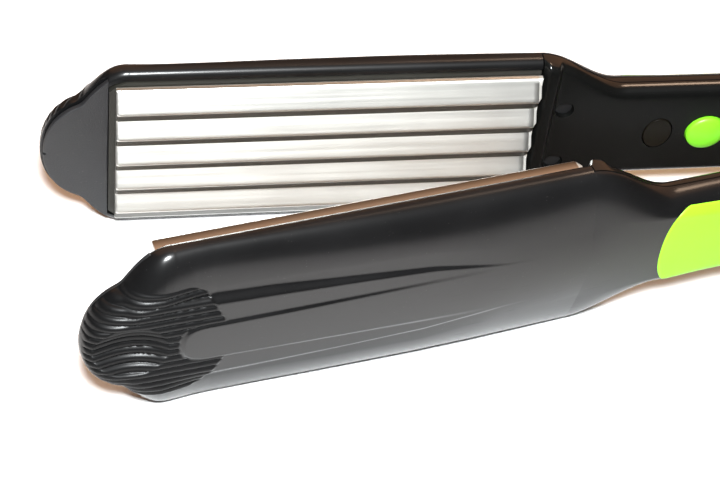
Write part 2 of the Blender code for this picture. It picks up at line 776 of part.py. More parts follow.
def thermal_fuse(arm, material):
    level = carrier_levels()[1] + FIT_GAP + FUSE_RADIUS
    centre = (heater_middle(), level, HEATER_WIDTH / 2 + FIT_GAP + FUSE_RADIUS)
    half = FUSE_LENGTH / 2
    return arm.disc("thermal_fuse", FUSE_RADIUS, (-half, half), centre, 'u', material, steps=12)


# Screws beside the plate

def screw_places():
    return [(SCREW_FROM_HINGE, sign * SCREW_SPREAD) for sign in (-1, 1)]


def screw_discs(arm, what, radius, levels, steps=16):
    discs = []
    for place, (u, z) in enumerate(screw_places()):
        discs.append(arm.disc(f"{arm.name}_{what}_{place}", radius, levels, (u, 0.0, z), 'w', steps=steps))
    return discs


def screw_seat_level():
    return RIM_LEVEL + SCREW_WELL_DEPTH


def add_screw_seats(arm, cover):
    """Thicker rings in the cover with a well for the head and a hole for the shank."""
    end = screw_seat_level() + SCREW_SEAT_THICKNESS
    ring = SCREW_BOSS_RADIUS + FIT_GAP * 2
    head = SCREW_HEAD_RADIUS + FIT_GAP
    shank = SCREW_SHANK_RADIUS + FIT_GAP
    unite(cover, *screw_discs(arm, "seat", ring, (RIM_LEVEL + COVER_WALL / 2, end)))
    cut(cover, *screw_discs(arm, "well", head, (RIM_LEVEL - OVERRUN, screw_seat_level())))
    cut(cover, *screw_discs(arm, "way", shank, (RIM_LEVEL, end + OVERRUN), steps=12))


def add_screw_bosses(arm, shell):
    """Posts on the outer wall that the screws bite into."""
    start = screw_seat_level() + SCREW_SEAT_THICKNESS + FIT_GAP
    top = edge_level(SCREW_FROM_HINGE) - WALL / 4
    unite(shell, *screw_discs(arm, "boss", SCREW_BOSS_RADIUS, (start, top)))
    end = screw_seat_level() + SCREW_LENGTH
    cut(shell, *screw_discs(arm, "pilot", SCREW_SHANK_RADIUS + FIT_GAP, (start - OVERRUN, end), steps=12))


def screws(arm, material):
    """The arm's two screws, each a head and a shank."""
    head = screw_seat_level() - FIT_GAP
    tip = screw_seat_level() + SCREW_LENGTH - FIT_GAP
    profile = [(0.0, head - SCREW_HEAD_HEIGHT), (SCREW_HEAD_RADIUS, head - SCREW_HEAD_HEIGHT),
               (SCREW_HEAD_RADIUS, head), (SCREW_SHANK_RADIUS, head),
               (SCREW_SHANK_RADIUS, tip - SCREW_SHANK_RADIUS), (0.0, tip)]
    for (u, z), where in zip(screw_places(), ("lower", "upper")):
        arm.turned(f"{arm.name}_{where}_screw", profile, (u, 0.0, z), 'w', material, steps=12)


# Hinge pieces

def spring_pocket(arm):
    reach = HUB_HALF_HEIGHT + OVERRUN
    return band(arm, "spring_pocket", SPRING_POCKET_RADIUS, HUB_HALF_HEIGHT - SPRING_POCKET_DEPTH, reach)


def spring_span():
    """Heights of the wire's middle at the two ends of the coil."""
    clear = FIT_GAP + SPRING_WIRE_RADIUS
    return (HUB_HALF_HEIGHT - SPRING_POCKET_DEPTH + clear, HUB_HALF_HEIGHT + HINGE_GAP - clear)


def spring_leg_hole(arm):
    """Narrow way for both straight legs, on the side away from the cord."""
    reach = HUB_HALF_HEIGHT + HINGE_GAP + SPRING_LEG_REACH + FIT_GAP
    low = spring_span()[0] - SPRING_LEG_REACH - FIT_GAP
    centre = (0.0, -SPRING_MEAN_RADIUS, 0.0)
    return arm.disc("spring_leg_hole", SPRING_WIRE_RADIUS + FIT_GAP, (low, reach), centre, 'z', steps=12)


def opening_spring(arm, material):
    """Wound spring about the pin, one leg in the rear hub and one in the front cheek."""
    low, high = spring_span()
    radius = SPRING_MEAN_RADIUS
    count = SPRING_TURNS * SPRING_STEPS
    route = [(0.0, -radius, low - SPRING_LEG_REACH)]
    for k in range(count + 1):
        angle = 2 * pi * k / SPRING_STEPS
        route.append((radius * sin(angle), -radius * cos(angle), low + (high - low) * k / count))
    route.append((0.0, -radius, HUB_HALF_HEIGHT + HINGE_GAP + SPRING_LEG_REACH))
    return arm.tube("opening_spring", SPRING_WIRE_RADIUS, [route], material)


def hinge_pin(arm, material):
    reach = HANDLE_HALF_WIDTH - CAP_THICKNESS - FIT_GAP * 2
    return arm.disc("hinge_pin", PIN_RADIUS, (-reach, reach), (0.0, 0.0, 0.0), 'z', material)


def hinge_caps(arm, material):
    """Two round covers over the pin's ends, slightly bevelled."""
    bevel = CAP_THICKNESS / 4
    for sign, where in ((1, "upper"), (-1, "lower")):
        outer = sign * HANDLE_HALF_WIDTH
        inner = sign * (HANDLE_HALF_WIDTH - CAP_THICKNESS)
        profile = [(0.0, inner), (CAP_RADIUS, inner), (CAP_RADIUS, outer - sign * bevel),
                   (CAP_RADIUS - bevel, outer), (0.0, outer)]
        arm.turned(f"{where}_hinge_cap", profile, (0.0, 0.0, 0.0), 'z', material)


# Cord inlet

def gland_seat_end():
    return GLAND_BOSS_END - GLAND_SLEEVE_LENGTH


def gland_boss(arm):
    centre = (0.0, GLAND_LEVEL, 0.0)
    return arm.disc("gland_boss", GLAND_BOSS_RADIUS, (-GLAND_BOSS_END, 0.0), centre, 'u')


def gland_seat(arm):
    heights = (-GLAND_BOSS_END - OVERRUN, -gland_seat_end())
    centre = (0.0, GLAND_LEVEL, 0.0)
    return arm.disc("gland_seat", GLAND_RADIUS + FIT_GAP, heights, centre, 'u', steps=SEAT_STEPS)


def cord_way(arm, name="cord_way"):
    """Way for the wires from the inlet, past the pin, into the handle."""
    heights = (-gland_seat_end() - FIT_GAP, hub_radius() + WALL * 3)
    centre = (0.0, CORD_WAY_LEVEL, 0.0)
    return arm.disc(name, CORD_WAY_RADIUS, heights, centre, 'u', steps=WAY_STEPS)


def cord_gland(arm, material):
    """Bushing with a flange outside and a sleeve in the housing, open right through."""
    outer = -(GLAND_BOSS_END + FIT_GAP + GLAND_FLANGE_THICKNESS)
    step = -(GLAND_BOSS_END + FIT_GAP)
    inner = -(gland_seat_end() + FIT_GAP)
    bevel = GLAND_FLANGE_THICKNESS / 3
    profile = [(GLAND_BORE, outer), (GLAND_FLANGE_RADIUS - bevel, outer),
               (GLAND_FLANGE_RADIUS, outer + bevel),
               (GLAND_FLANGE_RADIUS, step), (GLAND_RADIUS, step), (GLAND_RADIUS, inner), (GLAND_BORE, inner)]
    return arm.turned("cord_gland", profile, (0.0, GLAND_LEVEL, 0.0), 'u', material)


# Grip inlay

def grip_insert(arm, material):
    """Inlay: its outline, from a little above the handle's surface to a little below."""
    low, high = grip_levels()
    body = arm.prism(f"{arm.name}_grip_insert", grip_outline(0.0), (low + FIT_GAP, high), material)
    proud = arm.loft(f"{arm.name}_grip_skin", grip_stations(), lambda u: form_section(u, -GRIP_PROUD))
    depth = GRIP_THICKNESS - GRIP_PROUD
    floor = arm.loft(f"{arm.name}_grip_back", grip_stations(), lambda u: form_section(u, depth))
    keep(body, proud)
    cut(body, floor)
    return body


# Button, lens and electronics of the rear arm

def oval(centre, half_length, half_width_z, steps=ROUND_STEPS):
    angles = [2 * pi * k / steps for k in range(steps)]
    return [(centre + half_length * cos(a), half_width_z * sin(a)) for a in angles]


def cover_back():
    """Level of the cover's back, and of the flanges behind it."""
    return RIM_LEVEL + COVER_WALL


def add_controls_to_cover(arm, cover):
    """Holes for button and lens, rails for the board and the way of the cord."""
    span = (RIM_LEVEL - OVERRUN, cover_back() + FIT_GAP)
    centre = (BUTTON_FROM_HINGE, 0.0, 0.0)
    cut(cover, arm.disc("button_hole", BUTTON_RADIUS + FIT_GAP, span, centre, 'w', steps=HUB_STEPS))
    outline = oval(LENS_FROM_HINGE, LENS_HALF_LENGTH + FIT_GAP, LENS_HALF_WIDTH + FIT_GAP)
    cut(cover, arm.prism("lens_hole", outline, span))
    for sign in (-1, 1):
        z = sorted((sign * (BOARD_HALF_WIDTH - BOARD_RAIL), sign * BOARD_HALF_WIDTH))
        ends = (BOARD_HINGE_END + BOARD_RAIL, BOARD_TIP_END - BOARD_RAIL)
        levels = (RIM_LEVEL + COVER_WALL / 2, BOARD_LEVEL - FIT_GAP)
        unite(cover, arm.box(f"board_rail_{sign}", ends, levels, z))
    cut(cover, cord_way(arm, "cord_way_in_cover"))


def power_button(arm, material):
    """Domed button with a flange behind the cover, on an empty that slides."""
    top = RIM_LEVEL - BUTTON_HEIGHT
    dome = [(BUTTON_RADIUS * share, top + BUTTON_DOME * share ** 2) for share in (0.0, 0.4, 0.7, 0.88, 1.0)]
    flange = cover_back() + FIT_GAP
    back = flange + BUTTON_FLANGE_THICKNESS
    rim = BUTTON_RADIUS + BUTTON_FLANGE
    profile = dome + [(BUTTON_RADIUS, flange), (rim, flange), (rim, back), (0.0, back)]
    centre = (BUTTON_FROM_HINGE, 0.0, 0.0)
    button = arm.turned("power_button", profile, centre, 'w', material, steps=HUB_STEPS)
    slide = empty("power_button_slide", arm.place(BUTTON_FROM_HINGE, RIM_LEVEL, 0.0), 0.0, arm.empty)
    button.parent = slide
    button.location = -slide.location
    return button


def indicator_lens(arm, material):
    flange = cover_back() + FIT_GAP
    levels = (flange, flange + LENS_FLANGE_THICKNESS)
    outer = oval(LENS_FROM_HINGE, LENS_HALF_LENGTH + LENS_FLANGE, LENS_HALF_WIDTH + LENS_FLANGE)
    lens = arm.prism("indicator_lens", outer, levels, material)
    window = oval(LENS_FROM_HINGE, LENS_HALF_LENGTH, LENS_HALF_WIDTH)
    levels = (RIM_LEVEL - LENS_PROUD, flange + LENS_FLANGE_THICKNESS / 2)
    unite(lens, arm.prism("lens_window", window, levels))
    return lens


def control_board(arm, material):
    levels = (BOARD_LEVEL, BOARD_LEVEL + BOARD_THICKNESS)
    ends = (BOARD_HINGE_END, BOARD_TIP_END)
    return arm.box("control_board", ends, levels, (-BOARD_HALF_WIDTH, BOARD_HALF_WIDTH), material)


def tact_switch(arm, material):
    foot = BOARD_LEVEL - FIT_GAP
    half = SWITCH_SIDE / 2
    ends = (BUTTON_FROM_HINGE - half, BUTTON_FROM_HINGE + half)
    switch = arm.box("tact_switch", ends, (foot - SWITCH_HEIGHT, foot), (-half, half), material)
    levels = (foot - SWITCH_HEIGHT - PLUNGER_HEIGHT, foot - SWITCH_HEIGHT / 2)
    centre = (BUTTON_FROM_HINGE, 0.0, 0.0)
    unite(switch, arm.disc("plunger", PLUNGER_RADIUS, levels, centre, 'w', steps=16))
    return switch


def indicator_led(arm, material):
    foot = BOARD_LEVEL - FIT_GAP
    shoulder = foot - LED_HEIGHT + LED_RADIUS / 2
    profile = [(0.0, foot - LED_HEIGHT), (LED_RADIUS * 0.7, foot - LED_HEIGHT + LED_RADIUS / 6),
               (LED_RADIUS, shoulder), (LED_RADIUS, foot), (0.0, foot)]
    return arm.turned("indicator_led", profile, (LENS_FROM_HINGE, 0.0, 0.0), 'w', material, steps=16)


# Assembly

def reaches():
    """How far the open crimper reaches from the hinge axis, towards the tips and back."""
    half = OPEN_ANGLE / 2
    tip = nose_stations()[0]
    low = RIM_LEVEL + TIP_PANEL_THICKNESS + FIT_GAP
    forward = tip * cos(half) - low * sin(half)
    back = GLAND_BOSS_END + FIT_GAP + GLAND_FLANGE_THICKNESS
    bevel = GLAND_FLANGE_THICKNESS / 3
    corners = ((back, GLAND_FLANGE_RADIUS - bevel), (back - bevel, GLAND_FLANGE_RADIUS))
    backward = max(b * cos(half) + (GLAND_LEVEL + r) * sin(half) for b, r in corners)
    return forward, backward


def build():
    clear_scene()
    gloss = finish("gloss_black", (0.012, 0.012, 0.013), 0.12)
    matt = finish("matt_charcoal", (0.045, 0.046, 0.048), 0.6)
    silver = finish("silver_plate", (0.72, 0.72, 0.71), 0.28, 1.0)
    resin = finish("carrier_resin", (0.05, 0.045, 0.035), 0.5)
    lime = finish("lime_grip", (0.6, 1.0, 0.06), 0.45)
    green = finish("green_button", (0.22, 0.75, 0.05), 0.3)
    smoke = finish("smoked_lens", (0.02, 0.02, 0.022), 0.08)
    heater_case = finish("heater_case", (0.75, 0.73, 0.68), 0.6, 1.0)
    spring_steel = finish("spring_steel", (0.5, 0.5, 0.5), 0.3, 1.0)
    wire = finish("wire_sleeve", (0.8, 0.78, 0.74), 0.6)
    board = finish("board_laminate", (0.03, 0.16, 0.06), 0.5)
    diode = finish("led_epoxy", (0.75, 0.08, 0.04), 0.2)
    rubber = finish("gland_rubber", (0.02, 0.02, 0.02), 0.7)

    forward, backward = reaches()
    top = empty("crimper", ((forward - backward) / 2, 0.0, BARREL_HALF_WIDTH))
    arms = {}
    for side in (REAR, FRONT):
        arm = Arm(side, top)
        arms[side] = arm
        shell = outer_shell(arm, gloss)
        cover = inner_cover(arm, gloss)
        tip_panel(arm, matt)
        plate(arm, silver)
        carrier(arm, resin)
        heater(arm, heater_case)
        heater_clip(arm, spring_steel)
        grip_insert(arm, lime)
        screws(arm, spring_steel)
        if side == REAR:
            add_controls_to_cover(arm, cover)
            leg_hole = spring_leg_hole(arm)
            cut(shell, leg_hole)
            leads(arm, BOARD_TIP_END + FIT_GAP, wire)
            thermal_fuse(arm, spring_steel)
            power_button(arm, green)
            indicator_lens(arm, smoke)
            control_board(arm, board)
            tact_switch(arm, matt)
            indicator_led(arm, diode)
            cord_gland(arm, rubber)
            opening_spring(arm, spring_steel)
        else:
            cut(shell, leg_hole)
            leads(arm, hub_radius() + WALL + LEAD_SPARE, wire)
            hinge_pin(arm, spring_steel)
            hinge_caps(arm, gloss)


build()
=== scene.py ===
"""Looks of a hair crimper: two hinged arms with ridged silver plates, glossy black
housings with a ribbed nose, green grip inlays, a green button and a smoked lens."""

import bmesh
import bpy
import numpy as np
from math import cos, pi, radians, sin
from mathutils import Matrix, Vector


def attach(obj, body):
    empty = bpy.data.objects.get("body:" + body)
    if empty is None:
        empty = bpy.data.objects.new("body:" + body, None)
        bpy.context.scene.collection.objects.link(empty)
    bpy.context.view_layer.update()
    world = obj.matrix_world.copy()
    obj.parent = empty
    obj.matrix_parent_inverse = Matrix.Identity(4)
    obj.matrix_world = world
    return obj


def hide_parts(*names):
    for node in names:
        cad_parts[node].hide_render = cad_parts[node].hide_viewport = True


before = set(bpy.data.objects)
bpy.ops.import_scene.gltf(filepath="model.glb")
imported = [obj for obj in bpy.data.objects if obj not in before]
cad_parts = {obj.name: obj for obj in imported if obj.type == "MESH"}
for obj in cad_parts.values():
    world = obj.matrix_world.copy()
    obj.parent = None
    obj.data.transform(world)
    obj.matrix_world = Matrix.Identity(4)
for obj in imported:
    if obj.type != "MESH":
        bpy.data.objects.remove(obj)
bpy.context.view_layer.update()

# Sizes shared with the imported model, in metres, along an arm's own axes:
# u runs from the hinge to the tip, w outwards from the mating plane, z across
HINGE_X = 0.12218584
MIDDLE_Z = 0.0258
HALF_OPEN = radians(5.5)
REAR, FRONT = 1, -1
NAMES = {REAR: "rear", FRONT: "front"}
BODIES = {REAR: "rear_arm", FRONT: "front_arm"}
SAME_PLACE = 1e-6

TIP = 0.2485
PLATE_END = 0.1435
NECK_END = 0.120
BARREL_MIDDLE = 0.16975
NECK = 0.0235
NOSE = 0.0183

RIM = 0.0037
NOSE_RIM = 0.0054
PARTING = 0.0071
BARREL_HALF = 0.0258
HANDLE_HALF = 0.0152

# Crown of the outer face
HANDLE_CROWN = 0.0140
BARREL_CROWN = 0.0152
CROWN_DROP = 0.0022
NOSE_LEVEL = 0.0070
POLE_LEVEL = 0.0063

# Nose outline: a lobe, and a shoulder that starts behind the plate's tip end
LOBE_HALF = 0.0168
SHOULDER_BACK = 0.003
SHOULDER_FALL = 0.0095
SHOULDER_RUN = 0.0114
SHOULDER_SOFT = 0.0010
LOBE_ALONE = 0.012

# Rounding between inner face and side
NECK_LIP = 0.0030
BARREL_LIP = 0.0023
NOSE_LIP = 0.0012
LIP_SHARE = 0.4

# Thumb dimple
DIMPLE_PLACE = 0.0077
DIMPLE_LENGTH = 0.0086
DIMPLE_WIDTH = 0.0084
DIMPLE_DEPTH = 0.0033
DIMPLE_EDGE = 0.004

# Tongue and ribs
TONGUE_BACK = 0.0105
TONGUE_ROUND = 0.0060
TONGUE_POWER = 2.6
TONGUE_EDGE = 0.0011
TONGUE_END_HALF = 5.2e-3
RIB_PITCH = 0.00212
RIB_HEIGHT = 0.00068
RIB_ROUND = 0.8
RIB_BASE = 0.6
RIB_GAP = 0.0009
RIB_EDGE = 0.0004
PATCH_BACK = 0.0148
PATCH_SLANT = 0.47
PATCH_BEND_FROM = 0.0148
PATCH_BEND = 0.0022
PATCH_EDGE = 0.0007
PATCH_HALF = 0.0176
PATCH_SIDE_EDGE = 0.0006

# Corner of a section, and where its relief fades out
TILT_STEP = 0.004
CORNER_PULL, SIDE_PULL = 0.25, 0.62
SIDE_SHARE = 0.05
RELIEF_ABOVE_RIM = 0.0016
RELIEF_FADE = 0.0012
RELIEF_HALF = 0.0030

# Stations along a housing: from, to, how many. Nose, patch and barrel count from the
# plate's tip end
NOSE_ROWS, NOSE_LAST_TURN = 88, pi / 2 * 0.975
PATCH_ROWS = (0.0003, 0.0175, 60)
BARREL_ROWS = (0.018, 0.1048, 46)
NECK_ROWS = (PLATE_END - 0.0002, 0.112, 38)
HANDLE_ROWS = (0.110, 0.0011, 26)
PAIR_GAP = 1e-5

# Walls and the hollow of a housing
BARREL_WALL = 0.0024
HANDLE_WALL = 0.0022
HOLLOW_SHARE = 0.3
HOLLOW_START = 0.0162
HOLLOW_PAST_TIP = 0.0145
PANEL_START = 0.0019

# Where the plastic has its other gloss: the barrel's corner, and the cover's lip
DULL_LEVEL, DULL_LEVEL_RUN = 0.0055, 0.001
DULL_FROM, DULL_FROM_RUN = 0.138, 0.016
DULL_TIP_GAP, DULL_TIP_RUN = 0.004, 0.006
DULL_CORNER, DULL_CORNER_RUN = 0.0045, 0.003
BRIGHT_LIP, BRIGHT_LIP_RUN = 0.8, 0.4

# Hinge and cord inlet
FAR = 0.04
HUB_RADIUS = 0.01405
HUB_HALF = 0.0151
HUB_CROWN = 0.0004
HUB_CROWN_HALF = 0.0097
HUB_EDGE_FROM = 0.0095
HUB_EDGE_RUN = 0.0105
HUB_EDGE = 2.2
HUB_ROOM = 0.0144
REAR_HUB_HALF = 0.0090
CHEEK_ROOM = 0.0094
PIN_BORE = 0.0028
POCKET_RADIUS, POCKET_LEVEL = 0.0066, 0.0034
CAP_SEAT_RADIUS, CAP_SEAT_LEVEL = 0.0063, 0.0137
INLET_LEVEL = 0.0070
BOSS_RADIUS, BOSS_END, BOSS_FILLET = 0.0066, 0.0175, 0.0006
SEAT_RADIUS, SEAT_FROM, SEAT_END = 0.0053, 0.0115, 0.03

# Inner cover
COVER_ROWS = ((PLATE_END - 0.0003, 0.1377, 22), (0.137, 0.112, 34), (0.108, 0.0139, 22))
COVER_RIDGE_PLACE = 0.1407
COVER_RIDGE_HALF = 0.0028
COVER_RIDGE_HEIGHT = 0.0020
COVER_RIDGE_ROUND = 1.6
COVER_TOP = 0.0068
COVER_BACK = 0.0055
CUT = 0.01
WELL_PLACE, WELL_Z = 0.1355, 0.0092
WELL_RADIUS, WELL_BACK, WELL_FILLET = 0.0025, 0.0052, 0.0002
BUTTON_PLACE, BUTTON_HOLE = 0.0963, 0.0055
LENS_PLACE, LENS_HOLE = 0.1092, (0.0040, 0.0052)

# Tip panel
PANEL_INSET = 0.0007
PANEL_TIP_INSET = 0.0014
PANEL_MIDDLE = 0.0075
PANEL_FIRST_TURN = 0.12

# Plate
RIDGE_PITCH = 0.0083980
RIDGE_DEPTH = 0.00265
RIDGE_SOFT = 0.00022
PLATE_ROWS = ((TIP, TIP - 0.0012, 5), (TIP - 0.0024, 0.1460, 26), (0.14465, PLATE_END, 14))
PLATE_HALF = 0.0221
PLATE_COLUMNS = 233
PLATE_SKIRT, PLATE_SKIRT_END = 0.0031, 0.00312
PLATE_BASE = 0.0055
PLATE_BASE_HALF = 0.020
PLATE_BASE_GAP = 0.002
PLATE_CHAMFER_FROM = 0.1446
CHAMFER_RISE = 1.4
TIP_ROUND, TIP_ROUND_RUN = 0.00025, 0.0002
SIDE_ROUND, SIDE_ROUND_RUN = 0.00022, 0.0003
CREST_SHARE = 0.4

# The plate's painted shade on the flanks that face down, the milled hinge end, and how much
# painted shade the top's edges and the sides get
FLANK_SLOPE, FLANK_FADE = 0.25, 0.3
FLANK_HALF, FLANK_EDGE = 0.0215, 0.0004
MILLED_FROM, MILLED_EDGE = 0.14455, 0.0002
EDGE_SHADE, SIDE_SHADE = 0.85, 0.15

# Grip inlay
INLAY_FROM, INLAY_TO = 0.036, 0.124
INLAY_HALF = 0.0128
INLAY_SAG = 0.0080
INLAY_BOW = 2.2
INLAY_SUNK, INLAY_RISE, INLAY_EDGE = 0.0002, 0.0005, 0.0007
INLAY_THICKNESS = 0.0012


# Numbers as whole arrays

def MM(*values):
    """Millimetres as metres."""
    return tuple(v * 0.001 for v in values)


def smooth(t):
    """Smooth step: three times t squared minus two times t cubed, held between 0 and 1."""
    t = np.clip(t, 0.0, 1.0)
    return t * t * (3 - 2 * t)


def blend(a, b, t):
    """From a to b along the smooth step."""
    return a + (b - a) * smooth(t)


def table(u, places, values):
    """Straight runs between values given at distances from the plate's tip end."""
    return np.interp(u - TIP, places, values)


# Tables along the arm, from the hinge towards the plate's tip end
PLACES = MM(-140, -128, -105, -85, -64, -39, -10, 0)
START_SHARES = (0.62, 0.70, 0.42, 0.45, 0.58, 0.60, 0.60, 0.56)
FALLS = MM(0.4, 0.5, 1.2, 1.1, 0.8, 0.5, 0.5, 0.4)
HOOD_PLACES = MM(-90, -84, -64, -45, -26, -12, -8, 0)
HOOD_HEIGHTS = MM(0, 0.05, 0.6, 1.05, 1.5, 1.6, 1.3, 0)
STEP_PLACES = MM(-90, -82, -64, -45, -26, -12)
STEP_FOOT = MM(7.7, 8.2, 11.3, 12.6, 14.0, 14.6)
STEP_BROW = MM(7.0, 7.4, 9.9, 10.8, 11.3, 11.5)
TONGUE_HALVES = MM(-80, -46, -14), MM(6.5, 5.8, 5.2)
TONGUE_HEIGHTS = MM(-80, -62, -30, 0), MM(0, 0.25, 0.55, 0.65)

# Rings of the tip panel: how far each is drawn in, and its level
PANEL_DRAWN = (1.0, 0.6, 0.25, 0.0009, 0.0005, 0.00022, 0.00006, 0, 0, 0.0002, 1.0)
PANEL_LEVELS = MM(3.70, 3.70, 3.70, 3.70, 3.71, 3.76, 3.90, 4.1, 4.95, 5.1, 5.1)


# Housing form

def nose_place(u):
    """Share of the way from the plate's tip end to the nose's end."""
    return np.clip((u - TIP) / NOSE, 0.0, 1.0)


def nose_fall(u):
    """What is left in the nose: the square root of one minus the place cubed."""
    return np.sqrt(np.clip(1 - nose_place(u) ** 3, 0.0, 1.0))


def half_width(u):
    """Handle, S-shaped neck and barrel by a smooth step. The nose is the larger of a
    shoulder, falling with the square of the distance, and a lobe, the square root of
    one minus the place cubed, joined by a softened larger-of."""
    body = blend(HANDLE_HALF, BARREL_HALF, (u - NECK_END) / NECK)
    lobe = LOBE_HALF * nose_fall(u)
    past = np.clip(u - TIP + SHOULDER_BACK, 0.0, None)
    shoulder = BARREL_HALF - SHOULDER_FALL * (past / SHOULDER_RUN) ** 2
    apart = lobe - shoulder
    nose = (lobe + shoulder + np.sqrt(apart ** 2 + SHOULDER_SOFT ** 2)) / 2
    return np.where(u <= TIP - SHOULDER_BACK, body, np.where(u > TIP + LOBE_ALONE, lobe, nose))


def crown(u):
    """Level of the middle of the outer face: a smooth step up to the barrel's middle, a
    straight fall to the plate's tip end, and down to the nose's end with its fall."""
    rise = blend(HANDLE_CROWN, BARREL_CROWN, (u - NECK_END) / (BARREL_MIDDLE - NECK_END))
    run = np.clip((u - BARREL_MIDDLE) / (TIP - BARREL_MIDDLE), 0.0, 1.0)
    level = np.where(u <= BARREL_MIDDLE, rise, BARREL_CROWN - CROWN_DROP * run)
    return NOSE_LEVEL + (level - NOSE_LEVEL) * nose_fall(u)


def lip_radius(u):
    """Rounding between inner face and side: a smooth step along the neck and one along
    the nose, held under a share of the half width."""
    neck = blend(NECK_LIP, BARREL_LIP, (u - NECK_END) / NECK)
    nose = blend(BARREL_LIP, NOSE_LIP, nose_place(u) * 3)
    return np.minimum(np.where(u > TIP, nose, neck), half_width(u) * LIP_SHARE)


def corner_start(u):
    """Distance from the middle line where the outer face starts to round over: a share
    of the half width, read from a table."""
    return half_width(u) * table(u, PLACES, START_SHARES)


def face_level(u, a):
    """Level of the outer face at a distance a from the middle line: the crown, less a
    gentle fall with the square of the distance, less the smooth step beside the raised
    middle, less the thumb dimple, a shallow bowl of revolution with a crisp edge."""
    gentle = table(u, PLACES, FALLS) * (a / corner_start(u)) ** 2
    foot, brow = table(u, STEP_PLACES, STEP_FOOT), table(u, STEP_PLACES, STEP_BROW)
    step = table(u, HOOD_PLACES, HOOD_HEIGHTS) * smooth((a - brow) / (foot - brow))
    bowl = 1 - ((u - TIP - DIMPLE_PLACE) / DIMPLE_LENGTH) ** 2 - (a / DIMPLE_WIDTH) ** 2
    dimple = DIMPLE_DEPTH * (bowl + np.sqrt(bowl ** 2 + DIMPLE_EDGE)) / 2
    return crown(u) - (gentle + step) * nose_fall(u) - dimple


def tongue_reach(u, a, half):
    """One on the tongue's outline, a rounded rectangle open towards the hinge: the share
    past its straight part and the share of its half width, each to the 2.6th power,
    added, and the root taken."""
    past = np.clip((u - TIP + TONGUE_BACK) / TONGUE_ROUND, 0.0, None)
    return (past ** TONGUE_POWER + (a / half) ** TONGUE_POWER) ** (1 / TONGUE_POWER)


def tongue_rise(u, a):
    """Height of the long tongue: a smooth step down across its outline."""
    half = table(u, *TONGUE_HALVES)
    past_edge = (tongue_reach(u, a, half) - 1) * half
    return table(u, *TONGUE_HEIGHTS) * (1 - smooth(past_edge / TONGUE_EDGE))


def rib_patch(u, a):
    """Where the ribs are, as a product of three smooth steps: outside the tongue, ahead
    of a rear edge that slants from the tongue and bends back with the square of the
    distance, and inside the shoulder."""
    past_edge = (tongue_reach(u, a, TONGUE_END_HALF) - 1) * TONGUE_END_HALF
    outside = smooth((past_edge - RIB_GAP) / RIB_EDGE)
    bend = np.clip(a - PATCH_BEND_FROM, 0.0, None) ** 2 / PATCH_BEND
    start = (a - TONGUE_END_HALF) * PATCH_SLANT + bend - PATCH_BACK
    ahead = smooth((u - TIP - start) / PATCH_EDGE)
    return outside * ahead * smooth((PATCH_HALF - a) / PATCH_SIDE_EDGE)


def rib_rise(u, a):
    """Rounded ribs across the nose, kept inside their patch: the size of a sine wave of
    the distance from the middle line, to the power 0.8, less a base."""
    share = np.abs(np.sin(pi * a / RIB_PITCH + pi / 2))
    return RIB_HEIGHT * (share ** RIB_ROUND - RIB_BASE) * rib_patch(u, a)


def half_outline(u, face_shares, corner_steps=56, side_steps=2, lip_steps=5, detail=True):
    """Half outline of a section, from the middle of the outer face to the rim: the
    face, a cubic curve round the corner, the side, and a quarter circle for the lip.
    Ribs and tongue then move each point along the outline's own normal."""
    half, lip = half_width(u), lip_radius(u)
    start = corner_start(u)
    z_face = start * face_shares
    w_face = face_level(u, z_face)
    step = start * TILT_STEP
    w_start = face_level(u, start)
    tilt = (face_level(u, start - step) - w_start) / step
    base = RIM + lip
    w_side = base + (w_start - base) * SIDE_SHARE
    t = np.linspace(0, 1, corner_steps + 1)[1:]
    run, drop = half - start, w_start - w_side
    z1, w1 = start + run * CORNER_PULL, w_start - run * CORNER_PULL * tilt
    z2, w2 = half, w_side + drop * SIDE_PULL
    b0, b1, b2, b3 = (1 - t) ** 3, 3 * t * (1 - t) ** 2, 3 * t ** 2 * (1 - t), t ** 3
    z_corner = b0 * start + b1 * z1 + b2 * z2 + b3 * half
    w_corner = b0 * w_start + b1 * w1 + b2 * w2 + b3 * w_side
    s = np.linspace(0, 1, side_steps + 1)[1:]
    w_line = w_side + (base - w_side) * s
    z_line = half + 0 * w_line
    q = np.linspace(0, pi / 2, lip_steps + 1)[1:]
    z_lip = half - lip * (1 - np.cos(q))
    w_lip = base - lip * np.sin(q)
    w = np.concatenate([w_face, w_corner, w_line, w_lip], axis=1)
    z = np.concatenate([z_face, z_corner, z_line, z_lip], axis=1)
    if detail:
        dw, dz = np.gradient(w, axis=1), np.gradient(z, axis=1)
        length = np.sqrt(dw ** 2 + dz ** 2) + 1e-12
        fade = smooth((w - RIM - RELIEF_ABOVE_RIM) / RELIEF_FADE)
        fade = fade * smooth((half - RELIEF_HALF) / RELIEF_HALF)
        a = np.abs(z)
        rise = (rib_rise(u, a) + tongue_rise(u, a)) * fade
        w, z = w + rise * dz / length, z - rise * dw / length
    return w, np.maximum(z, 0.0)


# Meshes

def place(side, u, w, z):
    """An arm's own (u, w, z) arrays in the row frame, as points."""
    turn = -side * HALF_OPEN
    x, y = -u, side * w
    return np.stack([HINGE_X + x * cos(turn) - y * sin(turn), x * sin(turn) + y * cos(turn),
                     z + MIDDLE_Z + 0 * u], axis=-1)


